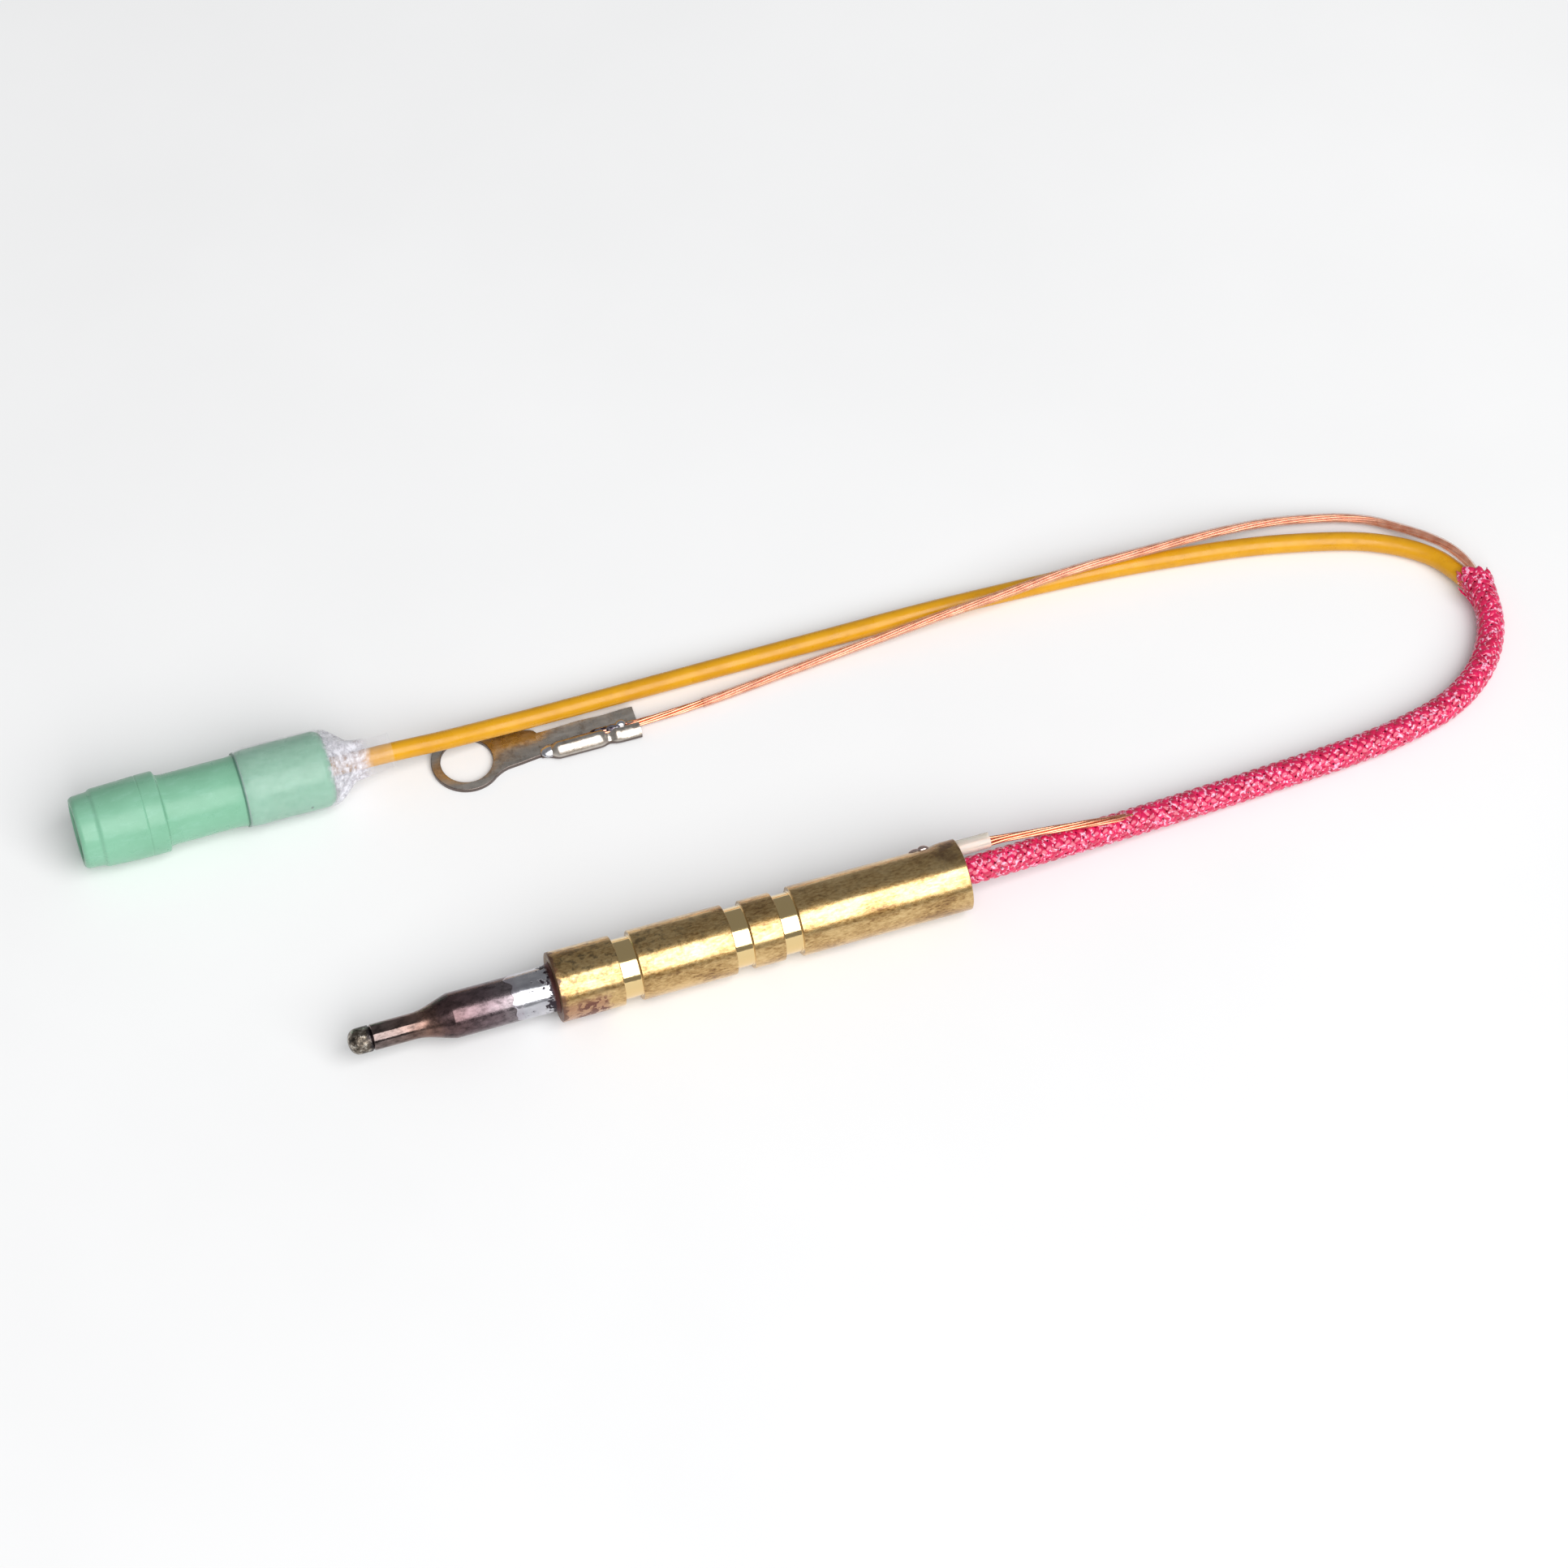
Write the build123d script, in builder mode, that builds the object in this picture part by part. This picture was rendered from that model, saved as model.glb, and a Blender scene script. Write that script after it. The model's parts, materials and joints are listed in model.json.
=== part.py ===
from build123d import *
import os
from math import pi, radians, tan

os.makedirs("parts", exist_ok=True)

# A gas-burner thermocouple: a heat-proof probe brazed into a brass body, and two leads that leave
# the body's rear together in a braided sleeve. One lead ends in a plug, the other in a ring terminal.
# It lies on the plane z = 0. The probe and body lie along X, tip towards -X, and the origin is under
# the middle of the two. The plug lies parallel to them, further along Y.

# --- Probe and body, along X ---
BODY_R = 3.5
GROOVE_R = 3.0
RING_R = 3.42
TIP_X = -31.45
REAR_X = 31.15
FRONT_X = -10.8
GROOVES = [(-4.45, -2.6), (6.95, 8.75), (11.9, 13.75)]
FRONT_BORE_R = 2.3
MAIN_BORE_R = 2.4
REAR_BORE_R = 2.9
MAIN_BORE_X = -4.2
REAR_BORE_X = 15.0
EDGE_BREAK = 0.15

ROD_R = 1.3
SHANK_R = 2.25
CAP_END_X = -29.15
CAP_DOME = 1.05
ROD_END_X = -24.9
SHANK_X = -21.1
SHANK_END_X = -4.8
ROD_BORE_R = 0.85
SHANK_BORE_R = 1.7
ROD_BORE_END_X = -23.0
SHANK_BORE_X = -21.0
CORE_R = 0.5
CORE_START_X = -29.75
CORE_END_X = 8.95
INSULATOR_GAP = 0.05
FERRULE_R = 0.85
FERRULE_SPAN = (6.4, 11.8)
BODY_LINER_BORE_R = 1.0
BODY_LINER_GAP = 0.2
SEAL_SPAN = (28.6, 30.7)

# --- Where the return lead leaves the body, in a pouch pressed out of the brass wall ---
RETURN_Y = 2.1
RETURN_Z = 5.15
POUCH_R = 1.1
POUCH_X = 28.9
SOLDER_X = 27.3
SOLDER_R = 0.6
LINER_R = 0.8
LINER_BORE_R = 0.6
LINER_SPAN = (28.4, 34.6)
WIRE_WAY_X = 25.5
WIRE_WAY_GAP = 0.1
BEAD_R = 0.68
BEAD_RISE = 0.9

# --- Leads ---
SLEEVE_R = 1.45
SLEEVE_BORE_R = 1.25
MOUTH_R = 2.05
MOUTH_BORE_R = 1.9
FLARE_L = 1.6
FLARE_CONE_L = 0.8
CONDUCTOR_R = 0.5
INSULATION_R = 0.975
INSULATION_BORE_R = 0.6
RETURN_WIRE_R = 0.4
RETURN_SLEEVE_R = 0.525
RETURN_SLEEVE_BORE_R = 0.42
IN_SLEEVE = 0.6  # each wire runs this far below or above the sleeve's centre

# --- Plug, along X ---
PLUG_Y = 31.6
PLUG_Z = 4.2
PLUG_NOSE_X = -50.4
PLUG_TAIL_X = -18.2
SOCKET_R = 2.0
SOCKET_X = -47.4
SOCKET_FLOOR_X = -38.0
WIRE_BARREL_SPAN = (-36.5, -29.4)
WIRE_BARREL_R = 1.1
WIRE_BARREL_FLOOR_X = -32.2
SOCKET_WALL = 0.5

# --- Ring terminal ---
EYE_CENTRE = (-10.8, 30.6)
EYE_R = 3.6
EYE_HOLE_R = 2.65
SHEET = 0.6
CRIMP_TOP = 1.8
CRIMP_END_X = 6.9
CRIMP_WIRE_Y = 29.3
CRIMP_WIRE_Z = 0.9
CAVITY_SPAN = (-1.2, CRIMP_END_X)
CRIMP_SOLDER_L = 6.4
CAVITY_W = 0.9
SEAM_W = 0.1

BODY_LINE = Plane(origin=(0, 0, BODY_R), x_dir=(1, 0, 0), z_dir=(0, -1, 0))
BODY_AXIS = Axis((0, 0, BODY_R), (1, 0, 0))
PLUG_LINE = Plane(origin=(0, PLUG_Y, PLUG_Z), x_dir=(1, 0, 0), z_dir=(0, -1, 0))
PLUG_AXIS = Axis((0, PLUG_Y, PLUG_Z), (1, 0, 0))


def across_x(x, y, z):
    """The plane across X at a point, with its own x along Y and its normal along +X."""
    return Plane(origin=(x, y, z), x_dir=(0, 1, 0), z_dir=(1, 0, 0))


# --- Routes of the leads, point by point ---

# The braided sleeve, from inside the body's rear, down to the table, round the bend to its mouth.
SLEEVE_ROUTE = [
    (23.5, 0.3, 3.4), (30.5, 0.3, 3.4), (37.5, 0.5, 3.3), (44.5, 1.1, 2.6), (51.5, 1.8, 1.8),
    (59.0, 2.3, 1.5), (66.5, 2.7, 1.5), (73.5, 3.1, 1.5), (79.8, 3.9, 1.5), (85.6, 5.4, 1.5),
    (90.1, 8.5, 1.5), (92.7, 12.2, 1.5), (93.9, 15.9, 1.7), (93.85, 20.0, 2.2),
]
# The core lead, from the joint inside the body to the start of the braided sleeve.
CORE_START = [(9.0, 0.0, 3.5), (15.5, 0.0, 3.5), (23.0, 0.1, 3.0)]
# The core lead, from the sleeve's mouth over the ring terminal to the plug.
CORE_ROUTE = [
    (93.4, 19.3, 1.5), (92.5, 21.3, 1.3), (91.2, 23.7, 1.0), (88.5, 26.0, 1.0),
    (84.8, 28.0, 1.0), (79.8, 29.5, 1.0), (73.8, 30.9, 1.0), (66.6, 31.9, 1.0),
    (58.0, 32.8, 1.0), (48.5, 33.2, 1.0), (38.0, 33.5, 1.0), (27.5, 33.4, 1.0),
    (17.0, 33.3, 1.1), (6.55, 33.05, 1.35), (-3.25, 32.8, 1.62), (-8.0, 32.6, 2.0),
    (-12.9, 31.8, 3.2), (-17.7, 31.5, 4.0), (-22.5, 31.5, 4.1), (-32.0, 31.6, 4.2),
]
INSULATION_END = (-29.2, 31.6, 4.2)
# The return lead, from its solder joint in the body to where it dives through the braid.
RETURN_START = [
    (26.1, RETURN_Y, RETURN_Z), (33.6, RETURN_Y, RETURN_Z), (40.0, 1.6, 4.85), (45.0, 1.3, 4.4),
]
# The return lead, from the sleeve's mouth, over the core lead, to the ring terminal.
RETURN_ROUTE = [
    (93.6, 19.6, 3.0), (93.0, 22.1, 2.85), (91.8, 24.9, 2.15), (89.4, 28.0, 1.2),
    (86.0, 30.8, 0.9), (81.2, 32.3, 1.0), (75.4, 33.1, 1.5), (69.0, 32.9, 2.3),
    (62.2, 32.5, 2.8), (54.5, 32.5, 2.95), (47.0, 31.8, 2.8), (39.5, 31.6, 2.2),
    (32.0, 31.4, 1.2), (23.5, 30.85, 0.75), (14.0, 29.75, 0.75), (6.5, 29.3, 0.9),
    (-0.5, CRIMP_WIRE_Y, CRIMP_WIRE_Z),
]
CLEAR_SLEEVE_POINTS = 15  # the return lead's clear sleeve covers this many points from the mouth

core_in_sleeve = [(x, y, z - IN_SLEEVE) for x, y, z in SLEEVE_ROUTE[1:-1]]
return_in_sleeve = [(x, y, z + IN_SLEEVE) for x, y, z in SLEEVE_ROUTE[4:-1]]
core_full = CORE_START + core_in_sleeve + CORE_ROUTE
return_full = RETURN_START + return_in_sleeve + RETURN_ROUTE


def bend_radii(route):
    """The largest radius that each corner of a route has room for, with a short straight between."""
    points = [Vector(*p) for p in route]
    radii = []
    for before, corner, after in zip(points, points[1:], points[2:]):
        into = corner - before
        out = after - corner
        shorter = min(into.length, out.length)
        radii.append(0.45 * shorter / tan(radians(into.get_angle(out)) / 2))
    return radii


def report_tube(name, piece, path, section_area, radii, diameter):
    """Print a tube's bends in diameters, and its volume against its section times its length."""
    swept = section_area * path.length
    print(f"{name}: length {path.length:.1f}, tightest bend {min(radii):.1f} mm")
    print(f"  in diameters {min(radii) / diameter:.1f}, volume {piece.volume / swept:.4f} of swept")


def ring_area(outer, inner):
    """The area between two circles."""
    return (outer**2 - inner**2) * pi


# --- Hot junction: the welded cap that closes the tip ---
with BuildPart() as hot_junction_cap:
    with BuildSketch(BODY_LINE):
        with BuildLine():
            Bezier((TIP_X + CAP_DOME, ROD_R), (TIP_X + 0.4, ROD_R), (TIP_X, 0.75), (TIP_X, 0))
            Line((TIP_X, 0), (CORE_START_X, 0))
            Line((CORE_START_X, 0), (CORE_START_X, CORE_R))
            Line((CORE_START_X, CORE_R), (CAP_END_X, CORE_R))
            Line((CAP_END_X, CORE_R), (CAP_END_X, ROD_R - EDGE_BREAK))
            Line((CAP_END_X, ROD_R - EDGE_BREAK), (CAP_END_X - EDGE_BREAK, ROD_R))
            Line((CAP_END_X - EDGE_BREAK, ROD_R), (TIP_X + CAP_DOME, ROD_R))
        make_face()
    revolve(axis=BODY_AXIS)
hot_junction_cap.part.label = "hot_junction_cap"
export_step(hot_junction_cap.part, "parts/hot_junction_cap.step")

# --- Probe sheath: a slim rod that swells into the shank, bored right through ---
with BuildPart() as probe_sheath:
    with BuildSketch(BODY_LINE):
        with BuildLine():
            Line((CAP_END_X, ROD_BORE_R), (CAP_END_X, ROD_R - EDGE_BREAK))
            Line((CAP_END_X, ROD_R - EDGE_BREAK), (CAP_END_X + EDGE_BREAK, ROD_R))
            Line((CAP_END_X + EDGE_BREAK, ROD_R), (ROD_END_X, ROD_R))
            Bezier((ROD_END_X, ROD_R), (-23.6, ROD_R), (-22.7, 1.85), (SHANK_X, SHANK_R))
            Line((SHANK_X, SHANK_R), (SHANK_END_X, SHANK_R))
            Line((SHANK_END_X, SHANK_R), (SHANK_END_X, SHANK_BORE_R))
            Line((SHANK_END_X, SHANK_BORE_R), (SHANK_BORE_X, SHANK_BORE_R))
            Line((SHANK_BORE_X, SHANK_BORE_R), (ROD_BORE_END_X, ROD_BORE_R))
            Line((ROD_BORE_END_X, ROD_BORE_R), (CAP_END_X, ROD_BORE_R))
        make_face()
    revolve(axis=BODY_AXIS)
probe_sheath.part.label = "probe_sheath"
export_step(probe_sheath.part, "parts/probe_sheath.step")

# --- Thermoelement core: the alloy wire that runs from the hot junction to the cold one ---
with BuildPart() as thermoelement_core:
    with BuildSketch(across_x(CORE_START_X, 0, BODY_R)):
        Circle(CORE_R)
    extrude(amount=CORE_END_X - CORE_START_X)
thermoelement_core.part.label = "thermoelement_core"
export_step(thermoelement_core.part, "parts/thermoelement_core.step")

# --- Sheath insulator: the tube that keeps the core off the sheath ---
with BuildPart() as sheath_insulator:
    with BuildSketch(BODY_LINE):
        with BuildLine():
            Polyline(
                (-28.9, CORE_R + INSULATOR_GAP), (-28.9, ROD_BORE_R - INSULATOR_GAP),
                (-22.9, ROD_BORE_R - INSULATOR_GAP), (-20.6, SHANK_BORE_R - 2 * INSULATOR_GAP),
                (-5.0, SHANK_BORE_R - 2 * INSULATOR_GAP), (-5.0, CORE_R + INSULATOR_GAP),
                close=True,
            )
        make_face()
    revolve(axis=BODY_AXIS)
sheath_insulator.part.label = "sheath_insulator"
export_step(sheath_insulator.part, "parts/sheath_insulator.step")

# --- Front braze: silver solder drawn along the shank and filleted against the body's face ---
with BuildPart() as front_braze:
    with BuildSketch(BODY_LINE):
        with BuildLine():
            Line((-15.4, SHANK_R), (-15.3, SHANK_R + 0.05))
            Line((-15.3, SHANK_R + 0.05), (-11.6, SHANK_R + 0.06))
            ThreePointArc((-11.6, SHANK_R + 0.06), (-11.0, SHANK_R + 0.25), (FRONT_X, 2.95))
            Line((FRONT_X, 2.95), (FRONT_X, FRONT_BORE_R))
            Line((FRONT_X, FRONT_BORE_R), (-8.5, FRONT_BORE_R))
            Line((-8.5, FRONT_BORE_R), (-8.5, SHANK_R))
            Line((-8.5, SHANK_R), (-15.4, SHANK_R))
        make_face()
    revolve(axis=BODY_AXIS)
front_braze.part.label = "front_braze"
export_step(front_braze.part, "parts/front_braze.step")

# --- Brass body: three clip grooves outside, a stepped bore inside, the pouch at its rear ---
body_outline = [(FRONT_X, FRONT_BORE_R), (FRONT_X, BODY_R - EDGE_BREAK)]
body_outline.append((FRONT_X + EDGE_BREAK, BODY_R))
land_radii = [BODY_R, BODY_R, RING_R, BODY_R]
for (start, end), before, after in zip(GROOVES, land_radii, land_radii[1:]):
    body_outline += [(start, before), (start, GROOVE_R), (end, GROOVE_R), (end, after)]
body_outline += [
    (REAR_X - EDGE_BREAK, BODY_R), (REAR_X, BODY_R - EDGE_BREAK), (REAR_X, REAR_BORE_R),
    (REAR_BORE_X, REAR_BORE_R), (REAR_BORE_X, MAIN_BORE_R),
    (MAIN_BORE_X, MAIN_BORE_R), (MAIN_BORE_X, FRONT_BORE_R),
]
# The solder joint's radial hole points from the body's axis through the return lead.
solder_way = (Vector(0, RETURN_Y, RETURN_Z) - Vector(0, 0, BODY_R)).normalized()
SOLDER_HOLE = Plane(origin=(SOLDER_X, RETURN_Y, RETURN_Z), x_dir=(1, 0, 0), z_dir=solder_way)

with BuildPart() as brass_body:
    with BuildSketch(BODY_LINE):
        with BuildLine():
            Polyline(*body_outline, close=True)
        make_face()
    revolve(axis=BODY_AXIS)
    # the pouch, with a round front end
    with BuildSketch(across_x(POUCH_X, RETURN_Y, RETURN_Z)):
        Circle(POUCH_R)
    extrude(amount=REAR_X - POUCH_X)
    with Locations((POUCH_X, RETURN_Y, RETURN_Z)):
        Sphere(POUCH_R)
    # clear the bore again behind the pouch
    with BuildSketch(across_x(POUCH_X - POUCH_R, 0, BODY_R)):
        Circle(REAR_BORE_R)
    extrude(amount=REAR_X - POUCH_X + POUCH_R, mode=Mode.SUBTRACT)
    # the way for the liner, the way for the bare wire, and the solder hole
    with BuildSketch(across_x(LINER_SPAN[0], RETURN_Y, RETURN_Z)):
        Circle(LINER_R)
    extrude(amount=REAR_X - LINER_SPAN[0], mode=Mode.SUBTRACT)
    with BuildSketch(across_x(WIRE_WAY_X, RETURN_Y, RETURN_Z)):
        Circle(RETURN_WIRE_R + WIRE_WAY_GAP)
    extrude(amount=LINER_SPAN[0] - WIRE_WAY_X, mode=Mode.SUBTRACT)
    with BuildSketch(SOLDER_HOLE):
        Circle(SOLDER_R)
    extrude(amount=BODY_R, mode=Mode.SUBTRACT)
brass_body.part.label = "brass_body"
export_step(brass_body.part, "parts/brass_body.step")

# --- Return lead's solder joint: it fills the hole down to the wire and stands up as a bead ---
with BuildPart() as return_lead_solder:
    with BuildSketch(SOLDER_HOLE):
        Circle(SOLDER_R)
    extrude(amount=0.85)
    with Locations(SOLDER_HOLE.location * Location((0, 0, BEAD_RISE))):
        Sphere(BEAD_R)
    with BuildSketch(across_x(SOLDER_X - 2, 0, BODY_R)):
        Circle(REAR_BORE_R)
    extrude(amount=4, mode=Mode.SUBTRACT)
    with BuildSketch(across_x(SOLDER_X - 2, RETURN_Y, RETURN_Z)):
        Circle(RETURN_WIRE_R)
    extrude(amount=4, mode=Mode.SUBTRACT)
    add(brass_body.part, mode=Mode.SUBTRACT)
return_lead_solder.part.label = "return_lead_solder"
export_step(return_lead_solder.part, "parts/return_lead_solder.step")

# --- Cold junction ferrule: joins the alloy core to the copper conductor ---
with BuildPart() as cold_junction_ferrule:
    with BuildSketch(across_x(FERRULE_SPAN[0], 0, BODY_R)):
        Circle(FERRULE_R)
        Circle(CORE_R, mode=Mode.SUBTRACT)
    extrude(amount=FERRULE_SPAN[1] - FERRULE_SPAN[0])
cold_junction_ferrule.part.label = "cold_junction_ferrule"
export_step(cold_junction_ferrule.part, "parts/cold_junction_ferrule.step")

# --- Body liner: the insulating tube in the main bore ---
with BuildPart() as body_liner:
    with BuildSketch(across_x(MAIN_BORE_X + BODY_LINER_GAP, 0, BODY_R)):
        Circle(MAIN_BORE_R - INSULATOR_GAP)
        Circle(BODY_LINER_BORE_R, mode=Mode.SUBTRACT)
    extrude(amount=REAR_BORE_X - MAIN_BORE_X - 2 * BODY_LINER_GAP)
body_liner.part.label = "body_liner"
export_step(body_liner.part, "parts/body_liner.step")

# --- Rear seal: the potting plug that the sleeve and the return lead's liner pass through ---
with BuildPart() as rear_seal:
    with BuildSketch(across_x(SEAL_SPAN[0], 0, BODY_R)):
        Circle(REAR_BORE_R)
        with Locations((SLEEVE_ROUTE[0][1], SLEEVE_ROUTE[0][2] - BODY_R)):
            Circle(SLEEVE_R + 0.1, mode=Mode.SUBTRACT)
        with Locations((RETURN_Y, RETURN_Z - BODY_R)):
            Circle(LINER_R, mode=Mode.SUBTRACT)
    extrude(amount=SEAL_SPAN[1] - SEAL_SPAN[0])
rear_seal.part.label = "rear_seal"
export_step(rear_seal.part, "parts/rear_seal.step")

# --- Return lead's liner: the pale stub of tube that guards it at the body's rear edge ---
with BuildPart() as return_lead_liner:
    with BuildSketch(across_x(LINER_SPAN[0], RETURN_Y, RETURN_Z)):
        Circle(LINER_R)
        Circle(LINER_BORE_R, mode=Mode.SUBTRACT)
    extrude(amount=LINER_SPAN[1] - LINER_SPAN[0])
return_lead_liner.part.label = "return_lead_liner"
export_step(return_lead_liner.part, "parts/return_lead_liner.step")

# --- Braided sleeve: a tube that opens out at its mouth, with a slit where the return lead dives in ---
sleeve_radii = bend_radii(SLEEVE_ROUTE)
mouth_end = Vector(*SLEEVE_ROUTE[-1])
mouth_way = (mouth_end - Vector(*SLEEVE_ROUTE[-2])).normalized()
mouth_start = mouth_end - mouth_way * FLARE_L
mouth_line = Plane(origin=mouth_start, x_dir=mouth_way, z_dir=(1, 0, 0))
dive_start = Vector(*RETURN_START[-1])
dive_way = Vector(*return_in_sleeve[0]) - dive_start
with BuildPart() as braided_sleeve:
    with BuildLine() as sleeve_path:
        FilletPolyline(*SLEEVE_ROUTE[:-1], mouth_start, radius=sleeve_radii)
    with BuildSketch(Plane(origin=sleeve_path.line @ 0, z_dir=sleeve_path.line % 0)):
        Circle(SLEEVE_R)
        Circle(SLEEVE_BORE_R, mode=Mode.SUBTRACT)
    sweep(path=sleeve_path.line)
    with BuildSketch(mouth_line):
        with BuildLine():
            Polyline(
                (0, SLEEVE_BORE_R), (0, SLEEVE_R), (FLARE_CONE_L, MOUTH_R), (FLARE_L, MOUTH_R),
                (FLARE_L, MOUTH_BORE_R), (FLARE_CONE_L, MOUTH_BORE_R),
                close=True,
            )
        make_face()
    revolve(axis=Axis(mouth_start, mouth_way))
    with BuildSketch(Plane(origin=dive_start - dive_way * 0.1, z_dir=dive_way)):
        Circle(RETURN_WIRE_R + 0.15)
    extrude(amount=dive_way.length * 1.1, mode=Mode.SUBTRACT)
braided_sleeve.part.label = "braided_sleeve"
export_step(braided_sleeve.part, "parts/braided_sleeve.step")
report_tube(
    "braided_sleeve", braided_sleeve.part, sleeve_path.wire(),
    ring_area(SLEEVE_R, SLEEVE_BORE_R), sleeve_radii, 2 * SLEEVE_R,
)

# --- Core lead's conductor: copper, from the cold junction to the plug's contact ---
core_radii = bend_radii(core_full)
with BuildPart() as core_lead_conductor:
    with BuildLine() as core_path:
        FilletPolyline(*core_full, radius=core_radii)
    with BuildSketch(Plane(origin=core_path.line @ 0, z_dir=core_path.line % 0)):
        Circle(CONDUCTOR_R)
    sweep(path=core_path.line)
core_lead_conductor.part.label = "core_lead_conductor"
export_step(core_lead_conductor.part, "parts/core_lead_conductor.step")
report_tube(
    "core_lead_conductor", core_lead_conductor.part, core_path.wire(),
    ring_area(CONDUCTOR_R, 0), core_radii, 2 * CONDUCTOR_R,
)

# --- Core lead's insulation: the coloured tube over the conductor, from the mouth to the plug ---
insulation_route = CORE_ROUTE[:-1] + [INSULATION_END]
insulation_radii = bend_radii(insulation_route)
with BuildPart() as core_lead_insulation:
    with BuildLine() as insulation_path:
        FilletPolyline(*insulation_route, radius=insulation_radii)
    with BuildSketch(Plane(origin=insulation_path.line @ 0, z_dir=insulation_path.line % 0)):
        Circle(INSULATION_R)
        Circle(INSULATION_BORE_R, mode=Mode.SUBTRACT)
    sweep(path=insulation_path.line)
core_lead_insulation.part.label = "core_lead_insulation"
export_step(core_lead_insulation.part, "parts/core_lead_insulation.step")
report_tube(
    "core_lead_insulation", core_lead_insulation.part, insulation_path.wire(),
    ring_area(INSULATION_R, INSULATION_BORE_R), insulation_radii, 2 * INSULATION_R,
)

# --- Return lead's wire: copper, from its solder joint to the ring terminal ---
return_radii = bend_radii(return_full)
with BuildPart() as return_lead_wire:
    with BuildLine() as return_path:
        FilletPolyline(*return_full, radius=return_radii)
    with BuildSketch(Plane(origin=return_path.line @ 0, z_dir=return_path.line % 0)):
        Circle(RETURN_WIRE_R)
    sweep(path=return_path.line)
return_lead_wire.part.label = "return_lead_wire"
export_step(return_lead_wire.part, "parts/return_lead_wire.step")
report_tube(
    "return_lead_wire", return_lead_wire.part, return_path.wire(),
    ring_area(RETURN_WIRE_R, 0), return_radii, 2 * RETURN_WIRE_R,
)

# --- Return lead's clear sleeve: it stops short of the ring terminal and leaves bare wire ---
clear_route = RETURN_ROUTE[:CLEAR_SLEEVE_POINTS]
clear_radii = bend_radii(clear_route)
with BuildPart() as return_lead_sleeve:
    with BuildLine() as clear_path:
        FilletPolyline(*clear_route, radius=clear_radii)
    with BuildSketch(Plane(origin=clear_path.line @ 0, z_dir=clear_path.line % 0)):
        Circle(RETURN_SLEEVE_R)
        Circle(RETURN_SLEEVE_BORE_R, mode=Mode.SUBTRACT)
    sweep(path=clear_path.line)
return_lead_sleeve.part.label = "return_lead_sleeve"
export_step(return_lead_sleeve.part, "parts/return_lead_sleeve.step")
report_tube(
    "return_lead_sleeve", return_lead_sleeve.part, clear_path.wire(),
    ring_area(RETURN_SLEEVE_R, RETURN_SLEEVE_BORE_R), clear_radii, 2 * RETURN_SLEEVE_R,
)

# --- Ring terminal: a flat eye and neck, and wings closed over the wire ---
with BuildPart() as ring_terminal:
    with BuildSketch(Plane.XY):
        with Locations(EYE_CENTRE):
            Circle(EYE_R)
        with BuildLine():
            Line((-9.6, 33.9), (-3.6, 32.0))
            Line((-3.6, 32.0), (-3.0, 31.0))
            Line((-3.0, 31.0), (-3.0, 29.0))
            ThreePointArc((-3.0, 29.0), (-6.0, 28.5), (-8.3, 27.9))
            Line((-8.3, 27.9), (-9.6, 33.9))
        make_face()
        with Locations(EYE_CENTRE):
            Circle(EYE_HOLE_R, mode=Mode.SUBTRACT)
    extrude(amount=SHEET)
    with BuildSketch(Plane.XY):
        with BuildLine():
            Polyline(
                (-3.0, 29.0), (CRIMP_END_X, 28.35), (CRIMP_END_X, 31.4), (-3.0, 31.0), close=True
            )
        make_face()
    extrude(amount=CRIMP_TOP)
    crimp_top_edges = ring_terminal.edges().filter_by(
        lambda e: abs(e.center().Z - CRIMP_TOP) < 0.01
    )
    fillet(crimp_top_edges, radius=0.3)
    # the wire's cavity, and the seam where the wings meet above it
    with BuildSketch(across_x(CAVITY_SPAN[0], CRIMP_WIRE_Y, CRIMP_WIRE_Z)):
        Rectangle(CAVITY_W, 2 * RETURN_WIRE_R + 0.05)
        with Locations((0.5 * (CAVITY_W - SEAM_W), 0.7)):
            Rectangle(SEAM_W, 0.8)
    extrude(amount=CAVITY_SPAN[1] - CAVITY_SPAN[0], mode=Mode.SUBTRACT)
ring_terminal.part.label = "ring_terminal"
export_step(ring_terminal.part, "parts/ring_terminal.step")

# --- Ring terminal's solder: it fills the crimp round the wire ---
with BuildPart() as ring_terminal_solder:
    with BuildSketch(across_x(CAVITY_SPAN[0], CRIMP_WIRE_Y, CRIMP_WIRE_Z)):
        Rectangle(CAVITY_W, 2 * RETURN_WIRE_R + 0.05)
    extrude(amount=CRIMP_SOLDER_L)
    add(return_lead_wire.part, mode=Mode.SUBTRACT)
ring_terminal_solder.part.label = "ring_terminal_solder"
export_step(ring_terminal_solder.part, "parts/ring_terminal_solder.step")

# --- Plug receptacle: the socket contact, with a wire barrel at its rear ---
with BuildPart() as plug_receptacle:
    with BuildSketch(PLUG_LINE):
        with BuildLine():
            Polyline(
                (SOCKET_X, SOCKET_R), (SOCKET_X, SOCKET_R + SOCKET_WALL),
                (WIRE_BARREL_SPAN[0], SOCKET_R + SOCKET_WALL),
                (WIRE_BARREL_SPAN[0], WIRE_BARREL_R), (WIRE_BARREL_SPAN[1], WIRE_BARREL_R),
                (WIRE_BARREL_SPAN[1], CONDUCTOR_R + 0.05),
                (WIRE_BARREL_FLOOR_X, CONDUCTOR_R + 0.05), (WIRE_BARREL_FLOOR_X, 0),
                (SOCKET_FLOOR_X, 0), (SOCKET_FLOOR_X, SOCKET_R),
                close=True,
            )
        make_face()
    revolve(axis=PLUG_AXIS)
plug_receptacle.part.label = "plug_receptacle"
export_step(plug_receptacle.part, "parts/plug_receptacle.step")

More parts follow.
